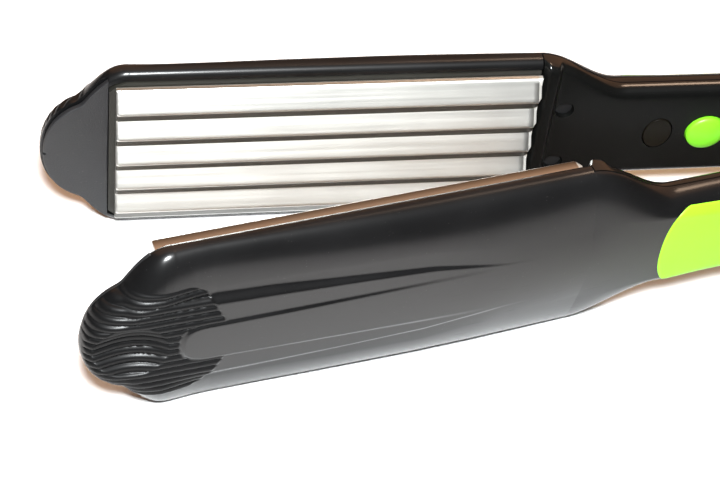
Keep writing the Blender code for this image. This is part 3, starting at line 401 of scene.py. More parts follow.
def solid_grid(name, points, ring=True, caps=True):
    """Object from a grid of points, rows by columns. A ring's rows are closed loops; the
    caps fill the first and the last. The signed volume decides which way faces point."""
    rows, cols = points.shape[:2]
    index = np.arange(rows * cols).reshape(rows, cols)
    across = np.roll(index, -1, axis=1) if ring else index[:, 1:]
    near = index if ring else index[:, :-1]
    quads = np.stack([near[:-1], across[:-1], across[1:], near[1:]], axis=-1).reshape(-1, 4)
    flat = points.reshape(-1, 3)
    centre = flat.mean(axis=0)
    a, b, c, d = (flat[quads[:, k]] - centre for k in range(4))
    volume = np.einsum('ij,ij->', a, np.cross(b, c)) + np.einsum('ij,ij->', a, np.cross(c, d))
    faces = quads.tolist()
    if caps:
        faces += [index[0][::-1].tolist(), index[-1].tolist()]
    if volume < 0:
        faces = [f[::-1] for f in faces]
    mesh = bpy.data.meshes.new(name)
    mesh.from_pydata(flat.tolist(), [], faces)
    mesh.update()
    item = bpy.data.objects.new(name, mesh)
    bpy.context.scene.collection.objects.link(item)
    return item


def welded(item, distance=SAME_PLACE):
    """Merges points that coincide, such as a pole's."""
    bm = bmesh.new()
    bm.from_mesh(item.data)
    bmesh.ops.remove_doubles(bm, verts=bm.verts, dist=distance)
    bm.to_mesh(item.data)
    bm.free()
    return item


def boolean(target, tool, operation='DIFFERENCE'):
    """Cuts a finished mesh with another, or joins them, then drops the other."""
    modifier = target.modifiers.new("join", 'BOOLEAN')
    modifier.operation = operation
    modifier.solver = 'EXACT'
    modifier.object = tool
    bpy.context.view_layer.update()
    evaluated = target.evaluated_get(bpy.context.evaluated_depsgraph_get())
    made = bpy.data.meshes.new_from_object(evaluated)
    target.modifiers.clear()
    target.data = made
    bpy.data.objects.remove(tool)
    return welded(target)


def painted(item, material):
    item.data.materials.clear()
    item.data.materials.append(material)


def dressed(item, material, body, replaced, crease=38):
    """Smooth shading with creases, a material, the body that carries the piece, and the
    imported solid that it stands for."""
    painted(item, material)
    item.data.shade_smooth()
    item.data.set_sharp_from_angle(angle=radians(crease))
    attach(item, body)
    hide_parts(replaced)
    return item


def marked(item, label, values):
    """Writes a value at each point, for the material to read."""
    field = item.data.attributes.new(label, 'FLOAT', 'POINT')
    field.data.foreach_set("value", values.ravel().astype(np.float32))


def disc(radius, low, high):
    """Outline of a plain cylinder, as (radius, height)."""
    return [(0, low), (radius, low), (radius, high), (0, high)]


def turned(name, side, profile, centre, axis, steps=72, squash=(1.0, 1.0)):
    """A closed outline of (radius, height) turned about an axis through the centre."""
    radius, height = (np.array(v, float)[:, None] for v in zip(*profile))
    turn = np.linspace(0, 2 * pi, steps, endpoint=False)[None, :]
    a, b = radius * np.cos(turn) * squash[0], radius * np.sin(turn) * squash[1]
    h = height + 0 * a
    cu, cw, cz = centre
    if axis == 'z':
        points = place(side, cu + a, cw + b, cz + h)
    elif axis == 'w':
        points = place(side, cu + a, cw + h, cz + b)
    else:
        points = place(side, cu + h, cw + a, cz + b)
    if profile[0][0] > 0:
        points = np.concatenate([points, points[:1]])
    return welded(solid_grid(name, points, caps=False), SAME_PLACE / 10)


def filleted(corners, radius, steps=5):
    """The outline with each inner corner replaced by a quadratic curve."""
    corners = np.array(corners, float)
    made = [corners[0]]
    for before, at, after in zip(corners, corners[1:], corners[2:]):
        back, ahead = before - at, after - at
        r = min(radius, 0.45 * np.hypot(*back), 0.45 * np.hypot(*ahead))
        p, q = at + back / np.hypot(*back) * r, at + ahead / np.hypot(*ahead) * r
        t = np.linspace(0, 1, steps)[:, None]
        made += list((1 - t) ** 2 * p + 2 * t * (1 - t) * at + t ** 2 * q)
    made.append(corners[-1])
    return [tuple(c) for c in made]


# Housings

def shell_rows():
    """Stations from the tip to the hinge, close together where the form is lively, in
    pairs where the rim or the hollow changes at once."""
    nose = TIP + NOSE * np.sin(np.linspace(0.0, NOSE_LAST_TURN, NOSE_ROWS))
    patch, barrel = TIP - np.linspace(*PATCH_ROWS), TIP - np.linspace(*BARREL_ROWS)
    neck, handle = np.linspace(*NECK_ROWS), np.linspace(*HANDLE_ROWS)
    steps = np.array([TIP + PANEL_START, TIP + HOLLOW_PAST_TIP, PLATE_END, HOLLOW_START])
    pairs = [steps - PAIR_GAP, steps + PAIR_GAP]
    rows = np.concatenate([nose, patch, barrel, neck, handle, *pairs])
    return np.unique(rows)[::-1][:, None]


def shell_points(side):
    """Each section is one closed loop: outer face, rim, and the hollow's own outline,
    which is the outer one drawn in by the wall; past the hollow's ends it is the rim."""
    u = shell_rows()
    half = half_width(u)
    w, z = half_outline(u, np.linspace(0, 1, 72))
    rim = np.where(u > TIP + PANEL_START, NOSE_RIM, np.where(u >= PLATE_END, RIM, PARTING))
    wall = np.where(u >= PLATE_END, BARREL_WALL, HANDLE_WALL)
    inner_half = np.maximum(half - wall, half * HOLLOW_SHARE)
    z = np.where(w < rim, np.maximum(z, inner_half), z)
    w = np.maximum(w, rim)
    wi, zi = half_outline(u, np.linspace(0, 1, 9), 7, 1, 1, detail=False)
    hollow = np.where((u < TIP + HOLLOW_PAST_TIP) & (u > HOLLOW_START), 1.0, 0.0)
    wi = rim + (np.maximum(wi - wall, rim) - rim) * hollow
    zi = zi * inner_half / half
    zi[:, -1:], wi[:, -1:] = inner_half, rim
    half_w = np.concatenate([w, wi[:, ::-1]], axis=1)
    half_z = np.concatenate([z, zi[:, ::-1]], axis=1)
    half_z[:, 0], half_z[:, -1] = 0.0, 0.0
    u = np.concatenate([[[TIP + NOSE]], u])
    half_w = np.concatenate([0 * half_w[:1] + POLE_LEVEL, half_w])
    half_z = np.concatenate([0 * half_z[:1], half_z])
    loop_w = np.concatenate([half_w, half_w[:, -2:0:-1]], axis=1)
    loop_z = np.concatenate([half_z, -half_z[:, -2:0:-1]], axis=1)
    return place(side, u + 0 * loop_w, loop_w, loop_z)


def band(side, radius, low, high, steps=72):
    """Cylinder about the hinge."""
    return turned("tool", side, disc(radius, low, high), (0, 0, 0), 'z', steps)


def hub_outline():
    """The hub as (radius, height): the radius falls with the square of the height, and
    near both ends once more with the square of what is past the edge's start."""
    z = np.linspace(-HUB_HALF, HUB_HALF, 25)
    r = HUB_RADIUS - HUB_CROWN * (np.abs(z) / HUB_CROWN_HALF) ** 2
    past = np.abs(z) - HUB_EDGE_FROM
    r = r - np.where(past > 0, past ** 2 / HUB_EDGE_RUN * HUB_EDGE, 0.0)
    return [(0.0, -HUB_HALF)] + list(zip(r, z)) + [(0.0, HUB_HALF)]


def mark_gloss(side, item, share_at):
    """Writes how far the plastic has its other gloss at each point: duller on ribs and
    barrel corner, brighter on a polished lip."""
    flat = np.empty(len(item.data.vertices) * 3, np.float32)
    item.data.vertices.foreach_get("co", flat)
    x, y, z = flat.reshape(-1, 3).astype(float).T
    turn = -side * HALF_OPEN
    u = -(x - HINGE_X) * cos(turn) - y * sin(turn)
    w = side * (y * cos(turn) - (x - HINGE_X) * sin(turn))
    marked(item, "other_gloss", share_at(u, w, np.abs(z - MIDDLE_Z)))


def dull_share(u, w, a):
    """The ribs, and the barrel's corner between side and outer face, by smooth steps."""
    outer = smooth((w - DULL_LEVEL) / DULL_LEVEL_RUN)
    along = smooth((u - DULL_FROM) / DULL_FROM_RUN)
    along = along * smooth((TIP - DULL_TIP_GAP - u) / DULL_TIP_RUN)
    corner = smooth((a - half_width(u) + DULL_CORNER) / DULL_CORNER_RUN) * along
    return np.maximum(rib_patch(u, a), corner) * outer


def lip_share(u, w, a):
    """The rounded lip of the inner cover, by a smooth step across it."""
    lip = lip_radius(u)
    return smooth((a - half_width(u) + lip * BRIGHT_LIP) / (lip * BRIGHT_LIP_RUN))


def housing(side, material):
    """Shell with its hub, the room for the other arm's hub, the pin's bore, and on the
    rear arm the cord's inlet."""
    name = NAMES[side]
    hinge, inlet = (0, 0, 0), (0, INLET_LEVEL, 0)
    shell = welded(solid_grid(f"{name}_housing", shell_points(side)))
    boolean(shell, turned("hub", side, hub_outline(), hinge, 'z', 76), 'UNION')
    if side == REAR:
        boolean(shell, band(side, HUB_ROOM, REAR_HUB_HALF, FAR))
        boolean(shell, band(side, HUB_ROOM, -FAR, -REAR_HUB_HALF))
        boss = filleted(disc(BOSS_RADIUS, 0.0, -BOSS_END), BOSS_FILLET)
        boolean(shell, turned("boss", side, boss, inlet, 'u'), 'UNION')
        seat = disc(SEAT_RADIUS, -SEAT_END, -SEAT_FROM)
        boolean(shell, turned("seat", side, seat, inlet, 'u', 48))
        boolean(shell, band(side, POCKET_RADIUS, POCKET_LEVEL, FAR, 60))
    else:
        boolean(shell, band(side, HUB_ROOM, -CHEEK_ROOM, CHEEK_ROOM))
        boolean(shell, band(side, CAP_SEAT_RADIUS, CAP_SEAT_LEVEL, FAR, 60))
        boolean(shell, band(side, CAP_SEAT_RADIUS, -FAR, -CAP_SEAT_LEVEL, 60))
    boolean(shell, band(side, PIN_BORE, -FAR, FAR, 48))
    mark_gloss(side, shell, dull_share)
    return dressed(shell, material, BODIES[side], f"{name}_outer_shell", 62)


def cover_level(u):
    """Inner face of the cover, with a round ridge across it beside the plate: a smooth
    step up to the ridge and down again."""
    near = 1 - np.abs(u - COVER_RIDGE_PLACE) / COVER_RIDGE_HALF
    return RIM - COVER_RIDGE_HEIGHT * smooth(COVER_RIDGE_ROUND * near)


def inner_cover(side, material):
    """Shallow tray: quarter circles for its lips, a flat inner face, a hollow back, and
    a hinge end cut to the circle of the hub's room."""
    u = np.concatenate([np.linspace(*run) for run in COVER_ROWS])[:, None]
    lip, half, level = lip_radius(u), half_width(u), cover_level(u)
    q = np.linspace(0, pi / 2, 9)
    z_lip = half - lip * (1 - np.cos(q))
    w_lip = np.minimum(level + lip * (1 - np.sin(q)), COVER_TOP)
    z_line = (half - lip) * np.linspace(1, 0, 13)[1:]
    w_line = level + 0 * z_line
    z_back = (half - HANDLE_WALL) * np.linspace(0, 1, 7)
    w_back = COVER_BACK + 0 * z_back
    corner = COVER_TOP + 0 * u
    front_z = np.concatenate([half, z_lip, z_line], axis=1)
    front_w = np.concatenate([corner, w_lip, w_line], axis=1)
    back_z = np.concatenate([z_back, half - HANDLE_WALL], axis=1)
    back_w = np.concatenate([w_back, corner], axis=1)
    z = np.concatenate([front_z, -front_z[:, -2::-1], -back_z[:, :0:-1], back_z], axis=1)
    w = np.concatenate([front_w, front_w[:, -2::-1], back_w[:, :0:-1], back_w], axis=1)
    u = np.maximum(u + 0 * w, np.sqrt(HUB_ROOM ** 2 - w ** 2))
    name = NAMES[side]
    cover = welded(solid_grid(f"{name}_inner_half", place(side, u, w, z)))
    for sign in (-1, 1):
        well = filleted(disc(WELL_RADIUS, -CUT, WELL_BACK), WELL_FILLET, 3)
        centre = (WELL_PLACE, 0, sign * WELL_Z)
        boolean(cover, turned("well", side, well, centre, 'w', 40))
    if side == REAR:
        hole = disc(BUTTON_HOLE, -CUT, CUT)
        boolean(cover, turned("hole", side, hole, (BUTTON_PLACE, 0, 0), 'w', 64))
        hole = disc(1.0, -CUT, CUT)
        boolean(cover, turned("hole", side, hole, (LENS_PLACE, 0, 0), 'w', 64, LENS_HOLE))
    mark_gloss(side, cover, lip_share)
    return dressed(cover, material, BODIES[side], f"{name}_inner_cover")


# Tip panels, plates and inlays

def tip_panel(side, material):
    """The nose's outline drawn in, with a rounded front edge: rings of the outline moved
    towards its middle, front to back. A value above a tenth is a share of the way, and a
    smaller one is a distance."""
    turn = np.linspace(PANEL_FIRST_TURN, pi / 2, 60)[:-1]
    past = NOSE * np.sin(turn)
    half = half_width(TIP + past)
    slope = np.gradient(half, past)
    length = np.sqrt(slope ** 2 + 1)
    ahead = np.maximum.accumulate(TIP + past + PANEL_INSET * slope / length)
    z = half - PANEL_INSET / length
    tip = np.array([TIP + NOSE - PANEL_TIP_INSET])
    line = np.linspace(-1, 1, 21)[1:-1]
    edge_u = np.concatenate([ahead, tip, ahead[::-1], ahead[0] + 0 * line])[None, :]
    edge_z = np.concatenate([z, [0.0], -z[::-1], z[0] * line])[None, :]
    mid = TIP + PANEL_MIDDLE
    reach = np.hypot(edge_u - mid, edge_z)
    drawn, w = np.array([PANEL_DRAWN]).T, np.array([PANEL_LEVELS]).T
    keep = np.where(drawn > 0.1, 1 - drawn, 1 - drawn / reach)
    points = place(side, mid + (edge_u - mid) * keep, w + 0 * keep * edge_z, edge_z * keep)
    name = NAMES[side]
    panel = welded(solid_grid(f"{name}_nose_panel", points, caps=False))
    return dressed(panel, material, BODIES[side], f"{name}_tip_panel")


def ridge_level(side, z):
    """Rounded zigzag: a slope times the distance to the nearest crest, softened there as
    the square root of the distance's square plus a small square."""
    k = z / RIDGE_PITCH
    if side == REAR:
        crest = np.clip(np.round(k), -2, 2)
    else:
        crest = np.clip(np.floor(k), -3, 2) + 0.5
    away = np.abs(z - crest * RIDGE_PITCH)
    slope = RIDGE_DEPTH / (RIDGE_PITCH / 2)
    rise = np.sqrt(away ** 2 + RIDGE_SOFT ** 2) - RIDGE_SOFT * CREST_SHARE
    return slope * rise - RIDGE_DEPTH / 2


def crimp_plate(side, material):
    """Ridges along the plate, chamfered at the hinge end, on a skirt and a base. The tip
    end turns up by an exponential of the distance, the sides by a smooth step."""
    u = np.concatenate([np.linspace(*run) for run in PLATE_ROWS])[:, None]
    z = np.linspace(-PLATE_HALF, PLATE_HALF, PLATE_COLUMNS)[None, :]
    ridges = ridge_level(side, z)
    w = ridges + 0 * u
    fade = CHAMFER_RISE * np.maximum(PLATE_CHAMFER_FROM - u, 0.0)
    w = np.minimum(w + fade, np.maximum(w, RIDGE_DEPTH / 2 + fade / 3))
    w = w + TIP_ROUND * np.exp(-(TIP - u) / TIP_ROUND_RUN)
    w = w + SIDE_ROUND * smooth((np.abs(z) - PLATE_HALF + SIDE_ROUND_RUN) / SIDE_ROUND_RUN)
    based = (u < TIP - PLATE_BASE_GAP) & (u > PLATE_END + PLATE_BASE_GAP)
    base = np.where(based, PLATE_BASE, PLATE_SKIRT_END)
    skirt = PLATE_SKIRT + 0 * u
    back_w = np.concatenate([skirt, skirt, base, base, skirt, skirt], axis=1)
    back_z = np.array([[PLATE_HALF, PLATE_BASE_HALF, PLATE_BASE_HALF,
                        -PLATE_BASE_HALF, -PLATE_BASE_HALF, -PLATE_HALF]]) + 0 * back_w
    # Painted shade: the down-facing flanks, the top's outermost columns and the sides are marked
    # for the material to darken
    slope = np.gradient(ridges, z[0], axis=1)
    inside = smooth((FLANK_HALF - np.abs(z)) / FLANK_EDGE)
    flank_shade = smooth((-FLANK_SLOPE - slope) / FLANK_FADE) * inside + 0 * u
    flank_shade[:, [0, -1]] = EDGE_SHADE
    milled = smooth((MILLED_FROM - u) / MILLED_EDGE) + 0 * z
    w = np.concatenate([w, back_w], axis=1)
    z = np.concatenate([z + 0 * u, back_z], axis=1)
    name = NAMES[side]
    plate = solid_grid(f"{name}_crimp_plate", place(side, u + 0 * w, w, z))
    marked(plate, "painted_flank_shade", np.concatenate([flank_shade, SIDE_SHADE + 0 * back_w], axis=1))
    marked(plate, "milled_end", np.concatenate([milled, 0 * back_w], axis=1))
    return dressed(plate, material, BODIES[side], f"{name}_plate", 50)


def grip_inlay(side, material):
    """The housing's own surface a hair higher, between two bowed ends: how far an end
    bows back is one minus the square root of one minus the width share to the 2.2."""
    face = np.sin(np.linspace(0, pi / 2, 44))
    shares = np.linspace(0, 1, 200)
    w0, z0 = half_outline(np.array([[0.10]]), shares, 60, 4, 5, detail=False)
    order = np.linspace(0, 1, w0.shape[1])
    widest = z0[0].argmax()
    across = np.interp(face * INLAY_HALF, z0[0][:widest], order[:widest])
    sag = INLAY_SAG * (1 - np.sqrt(np.clip(1 - np.clip(face, 0, 1) ** INLAY_BOW, 0, 1)))
    rows = 0.5 - 0.5 * np.cos(pi * np.linspace(0, 1, 64)[:, None])
    u = (INLAY_FROM + sag) + (INLAY_TO - INLAY_FROM - 2 * sag) * rows
    w = np.empty_like(u)
    z = np.empty_like(u)
    for k in range(u.shape[1]):
        wk, zk = half_outline(u[:, k:k + 1], shares, 60, 4, 5, detail=False)
        at = across[k] * (wk.shape[1] - 1)
        low = int(min(at, wk.shape[1] - 2))
        w[:, k] = wk[:, low] + (wk[:, low + 1] - wk[:, low]) * (at - low)
        z[:, k] = zk[:, low] + (zk[:, low + 1] - zk[:, low]) * (at - low)
    ends = np.minimum(u - (INLAY_FROM + sag), (INLAY_TO - sag) - u)
    edge = np.minimum(ends, INLAY_HALF * (1 - face))
    w = w - INLAY_SUNK + INLAY_RISE * smooth(edge / INLAY_EDGE)
    full_u, full_w = (np.concatenate([v[:, :0:-1], v], axis=1) for v in (u, w))
    full_z = np.concatenate([-z[:, :0:-1], z], axis=1)
    name = NAMES[side]
    points = place(side, full_u, full_w, full_z)
    inlay = solid_grid(f"{name}_grip_inlay", points, ring=False, caps=False)
    middle = inlay.data.polygons[len(inlay.data.polygons) // 2]
    inner, outer = place(side, np.array([0.08, 0.08]), np.array([0.0, 1.0]), np.zeros(2))
    if np.dot(np.array(middle.normal), outer - inner) < 0:
        inlay.data.flip_normals()
    wall = inlay.modifiers.new("wall", 'SOLIDIFY')
    wall.thickness, wall.offset = INLAY_THICKNESS, -1
    return dressed(inlay, material, BODIES[side], f"{name}_grip_insert")


# Small pieces: their outlines are (radius, height) pairs in metres

def power_button(material):
    """Dome that falls with the 2.2th power of the radius, on a flange."""
    r = np.linspace(0, 1, 15)
    dome = [(0.0052 * a, 0.0015 + 0.0013 * a ** 2.2) for a in r[:-1]]
    rest = [(0.0052, 0.0030), (0.0052, 0.0058), (0.0062, 0.0058), (0.0062, 0.0065), (0.0, 0.0065)]
    profile = dome[:-1] + filleted([dome[-1]] + rest, 0.0004)
    button = turned("power_key", REAR, profile, (BUTTON_PLACE, 0, 0), 'w', 96)
    return dressed(button, material, "power_button", "power_button")


def indicator_window(material):
    """Oval window whose front falls with the cube of the radius, with a flange behind."""
    front = [(a, 0.0034 + 0.0002 * a ** 3) for a in np.linspace(0, 0.97, 10)]
    rest = [(1.0, 0.0038), (1.0, 0.0058), (1.25, 0.0058), (1.25, 0.0065), (0.0, 0.0065)]
    window = turned("indicator_window", REAR, front + rest, (LENS_PLACE, 0, 0), 'w', 72,
                    (0.0037, 0.0049))
    return dressed(window, material, "rear_arm", "indicator_lens")


def cord_bushing(material):
    """Ring with a flange outside and a sleeve in the inlet, open right through."""
    outline = [(0.0034, -0.0150), (0.0034, -0.0193), (0.0060, -0.0193), (0.0060, -0.0178),
               (0.0050, -0.0178), (0.0050, -0.0118), (0.0034, -0.0118), (0.0034, -0.0150)]
    profile = filleted(outline, 0.0004)[:-1]
    bushing = turned("cord_bushing", REAR, profile, (0, INLET_LEVEL, 0), 'u')
    return dressed(bushing, material, "rear_arm", "cord_gland")


def hinge_cover(sign, material):
    """Round cap over a pin end: it falls with the fourth power of the radius, and has a
    shallow ring, a bell curve of the radius."""
    r = np.linspace(0, 1, 19)
    ring = 0.00012 * np.exp(-((r - 0.72) / 0.05) ** 2)
    top = [(0.0060 * a, sign * (0.0152 - 0.00025 * a ** 4 - g)) for a, g in zip(r, ring)]
    edge = [top[-1], (0.0060, sign * 0.0140), (0.0, sign * 0.0140)]
    profile = top[:-1] + filleted(edge, 0.0001, 3)
    where = "upper" if sign > 0 else "lower"
    cap = turned(f"{where}_pin_cover", FRONT, profile, (0, 0, 0), 'z')
    return dressed(cap, material, "front_arm", f"{where}_hinge_cap")


# Materials

def group(name, inputs, outputs, build):
    """Shader node group with named sockets."""
    tree = bpy.data.node_groups.new(name, 'ShaderNodeTree')
    for label, kind, value in inputs:
        socket = tree.interface.new_socket(label, in_out='INPUT', socket_type=kind)
        if value is not None:
            socket.default_value = value
    for label in outputs:
        tree.interface.new_socket(label, in_out='OUTPUT', socket_type='NodeSocketFloat')
    build(tree, tree.nodes.new('NodeGroupInput'), tree.nodes.new('NodeGroupOutput'))
    return tree


def node(tree, kind, links=(), **settings):
    """A node with its links. A setting that starts with in_ is a socket's constant."""
    made = tree.nodes.new(kind)
    for key, value in settings.items():
        if key.startswith("in_"):
            made.inputs[key[3:].replace("_", " ")].default_value = value
        else:
            setattr(made, key, value)
    for socket, source in links:
        tree.links.new(source, made.inputs[socket])
    return made


def ramp(tree, source, low, high, to_low=0.0, to_high=1.0):
    """Maps a value range onto another, held at the ends."""
    made = node(tree, 'ShaderNodeMapRange', [("Value", source)])
    ends = zip(("From Min", "From Max", "To Min", "To Max"), (low, high, to_low, to_high))
    for label, value in ends:
        made.inputs[label].default_value = value
    return made.outputs["Result"]


def mix(tree, share, first, second):
    """Colour mix. Either colour is a socket or three numbers."""
    made = node(tree, 'ShaderNodeMix', [("Factor", share)], data_type='RGBA')
    for label, colour in (("A", first), ("B", second)):
        if isinstance(colour, tuple):
            made.inputs[label].default_value = (*colour, 1.0)
        else:
            tree.links.new(colour, made.inputs[label])
    return made.outputs["Result"]


def build_grain(tree, given, out):
    """Fine grain for the relief and broad patches for tone and roughness."""
    vector, scale = ("Vector", given.outputs["Vector"]), ("Scale", given.outputs["Scale"])
    fine = node(tree, 'ShaderNodeTexNoise', [vector, scale], in_Detail=3.0, in_Roughness=0.6)
    broad = node(tree, 'ShaderNodeTexNoise', [vector], in_Scale=38.0, in_Detail=4.0,
                 in_Roughness=0.55)
    tree.links.new(fine.outputs["Fac"], out.inputs["Height"])
    tree.links.new(ramp(tree, broad.outputs["Fac"], 0.35, 0.65), out.inputs["Patches"])


def build_hairlines(tree, given, out):
    """Thin handling scratches: stretched noise, cut to its peaks."""
    tilted = node(tree, 'ShaderNodeMapping', [("Vector", given.outputs["Vector"])],
                  in_Rotation=(0.4, 0.9, 0.6), in_Scale=(60.0, 1400.0, 1400.0))
    lines = node(tree, 'ShaderNodeTexNoise', [("Vector", tilted.outputs["Vector"])],
                 in_Scale=1.0, in_Detail=1.0)
    tree.links.new(ramp(tree, lines.outputs["Fac"], 0.66, 0.74), out.inputs["Mask"])


def build_dust(tree, given, out):
    """Sparse specks, from the distance to scattered points."""
    vector, scale = ("Vector", given.outputs["Vector"]), ("Scale", given.outputs["Scale"])
    specks = node(tree, 'ShaderNodeTexVoronoi', [vector, scale])
    choose = node(tree, 'ShaderNodeTexNoise', [vector], in_Scale=260.0)
    near = ramp(tree, specks.outputs["Distance"], 0.16, 0.05)
    some = ramp(tree, choose.outputs["Fac"], 0.56, 0.64)
    both = node(tree, 'ShaderNodeMath', [(0, near), (1, some)], operation='MULTIPLY')
    tree.links.new(both.outputs[0], out.inputs["Mask"])


def build_brushed(tree, given, out):
    """Drawing marks along the plate: noise squeezed across it."""
    along = node(tree, 'ShaderNodeMapping', [("Vector", given.outputs["Vector"])],
                 in_Scale=(14.0, 1300.0, 1300.0))
    lines = node(tree, 'ShaderNodeTexNoise', [("Vector", along.outputs["Vector"])],
                 in_Scale=1.0, in_Detail=3.0, in_Roughness=0.6)
    tree.links.new(lines.outputs["Fac"], out.inputs["Height"])


VECTOR = [("Vector", 'NodeSocketVector', None)]
SCALED = VECTOR + [("Scale", 'NodeSocketFloat', 900.0)]
GRAIN = group("moulded_grain", SCALED, ["Height", "Patches"], build_grain)
HAIRLINES = group("handling_marks", VECTOR, ["Mask"], build_hairlines)
DUST = group("dust_specks", SCALED, ["Mask"], build_dust)
BRUSHED = group("drawn_metal", VECTOR, ["Height"], build_brushed)
DUST_COLOUR = (0.42, 0.40, 0.37)


def placed(tree, which, vector, **values):
    """A shared effect in a material."""
    made = node(tree, 'ShaderNodeGroup', node_tree=which)
    tree.links.new(vector, made.inputs["Vector"])
    for key, value in values.items():
        made.inputs[key].default_value = value
    return made


def surface(name):
    """New material: its node tree, its shader, and the object coordinates."""
    material = bpy.data.materials.new(name)
    material.use_nodes = True
    tree = material.node_tree
    shader = next(n for n in tree.nodes if n.type == 'BSDF_PRINCIPLED')
    return material, tree, shader, tree.nodes.new('ShaderNodeTexCoord').outputs["Object"]


def attribute(tree, label):
    return node(tree, 'ShaderNodeAttribute', attribute_name=label).outputs["Fac"]


def finish(name, colour, second, rough, grain=900.0, bump=0.02, metallic=0.0, marks=0.0,
           dust=0.0, specular=0.5, brushed=None, emission=None, flank_shade=None, gloss=None,
           other_gloss=None):
    """A moulded or drawn surface: two close tones in broad patches, roughness that
    follows the patches and the handling marks, grain as a bump, and a little dust."""
    material, tree, shader, where = surface(name)
    if brushed is not None:
        straight = node(tree, 'ShaderNodeMapping', [("Vector", where)],
                        in_Rotation=(0.0, 0.0, brushed))
        where = straight.outputs["Vector"]
    grains = placed(tree, GRAIN, where, Scale=grain)
    patches, height = grains.outputs["Patches"], grains.outputs["Height"]
    colour_now = mix(tree, patches, colour, second)
    rough_now = ramp(tree, patches, 0, 1, *rough)
    if marks:
        lines = placed(tree, HAIRLINES, where)
        more = node(tree, 'ShaderNodeMath', [(0, lines.outputs["Mask"]), (2, rough_now)],
                    operation='MULTIPLY_ADD')
        more.inputs[1].default_value = marks
        rough_now = more.outputs[0]
    if dust:
        specks = placed(tree, DUST, where, Scale=1100.0)
        amount = ramp(tree, specks.outputs["Mask"], 0, 1, 0, dust)
        colour_now = mix(tree, amount, colour_now, DUST_COLOUR)
    if brushed is not None:
        height = placed(tree, BRUSHED, where).outputs["Height"]
        spread = ramp(tree, height, 0.3, 0.7, -0.03, 0.03)
        more = node(tree, 'ShaderNodeMath', [(0, rough_now), (1, spread)], operation='ADD')
        rough_now = more.outputs[0]
    # Painted shade: the plate's marked flanks, edges and sides are mixed towards a dark colour
    if flank_shade:
        colour_now = mix(tree, attribute(tree, "painted_flank_shade"), colour_now, flank_shade)
        metal = ramp(tree, attribute(tree, "milled_end"), 0, 1, metallic, 0.15)
        tree.links.new(metal, shader.inputs["Metallic"])
    else:
        shader.inputs["Metallic"].default_value = metallic
    relief = node(tree, 'ShaderNodeBump', [("Height", height)], in_Strength=bump,
                  in_Distance=0.0002)
    tree.links.new(colour_now, shader.inputs["Base Color"])
    tree.links.new(rough_now, shader.inputs["Roughness"])
    tree.links.new(relief.outputs["Normal"], shader.inputs["Normal"])
    shader.inputs["Specular IOR Level"].default_value = specular
    if gloss:
        share = attribute(tree, "other_gloss")
        for label, usual, other in zip(("Coat Weight", "Coat Roughness"), gloss, other_gloss):
            shader.inputs[label].default_value = usual
            tree.links.new(ramp(tree, share, 0, 1, usual, other), shader.inputs[label])
    if emission:
        shader.inputs["Emission Color"].default_value = (*emission, 1.0)
        shader.inputs["Emission Strength"].default_value = 0.15
    return material


BLACK = finish("gloss_black_housing", (0.0040, 0.0040, 0.0042), (0.0055, 0.0055, 0.0058),
               (0.42, 0.48), grain=1600.0, bump=0.03, marks=0.05, dust=0.05, specular=0.09,
               gloss=(0.64, 0.20), other_gloss=(0.16, 0.26))
SATIN = finish("satin_black_cover", (0.0035, 0.0036, 0.0034), (0.0045, 0.0046, 0.0044),
               (0.38, 0.44), grain=1800.0, bump=0.04, marks=0.05, dust=0.05, specular=0.09,
               gloss=(0.09, 0.22), other_gloss=(0.85, 0.16))
CHARCOAL = finish("matt_charcoal_nose", (0.012, 0.013, 0.014), (0.017, 0.017, 0.019),
                  (0.46, 0.56), grain=2600.0, bump=0.35, dust=0.12)
# The silver's dark flank colour is painted shade
SILVER = {side: finish(f"{NAMES[side]}_silver_ridges", (0.80, 0.79, 0.75), (0.76, 0.75, 0.71),
                       (0.37, 0.41), bump=0.015, metallic=1.0, brushed=side * HALF_OPEN,
                       flank_shade=(0.045, 0.040, 0.028)) for side in (REAR, FRONT)}
RESIN = finish("brown_black_resin", (0.012, 0.011, 0.008), (0.016, 0.015, 0.011),
               (0.60, 0.70), bump=0.15)
BLACKED = finish("blacked_steel", (0.020, 0.020, 0.021), (0.015, 0.015, 0.016),
                 (0.50, 0.60), metallic=0.6, bump=0.1)
LIME = finish("lime_inlay", (0.28, 0.72, 0.022), (0.265, 0.70, 0.020), (0.36, 0.42),
              grain=2000.0, bump=0.06, marks=0.05, specular=0.25)
KEY = finish("green_key", (0.22, 0.78, 0.02), (0.19, 0.70, 0.018), (0.38, 0.46),
             grain=2000.0, bump=0.05)
SMOKED = finish("smoked_window", (0.0055, 0.0045, 0.003), (0.0070, 0.0055, 0.0035),
                (0.30, 0.36), bump=0.01, specular=0.12)
CERAMIC = finish("heater_ceramic", (0.70, 0.68, 0.62), (0.62, 0.60, 0.55), (0.5, 0.6),
                 bump=0.2, dust=0.1)
STEEL = finish("spring_steel", (0.55, 0.55, 0.56), (0.48, 0.48, 0.50), (0.28, 0.36),
               metallic=1.0, bump=0.05)
SLEEVE = finish("glass_fibre_sleeve", (0.62, 0.60, 0.55), (0.55, 0.53, 0.48), (0.7, 0.8),
                grain=3000.0, bump=0.4)
LAMINATE = finish("board_laminate", (0.25, 0.17, 0.06), (0.21, 0.14, 0.05), (0.40, 0.50),
                  grain=2400.0, bump=0.15)
EPOXY = finish("lamp_epoxy", (0.65, 0.10, 0.05), (0.60, 0.09, 0.05), (0.10, 0.14),
               bump=0.01, emission=(0.9, 0.1, 0.05))
RUBBER = finish("bushing_rubber", (0.018, 0.018, 0.018), (0.026, 0.026, 0.026),
                (0.55, 0.66), grain=1800.0, bump=0.3, dust=0.15)

# The object

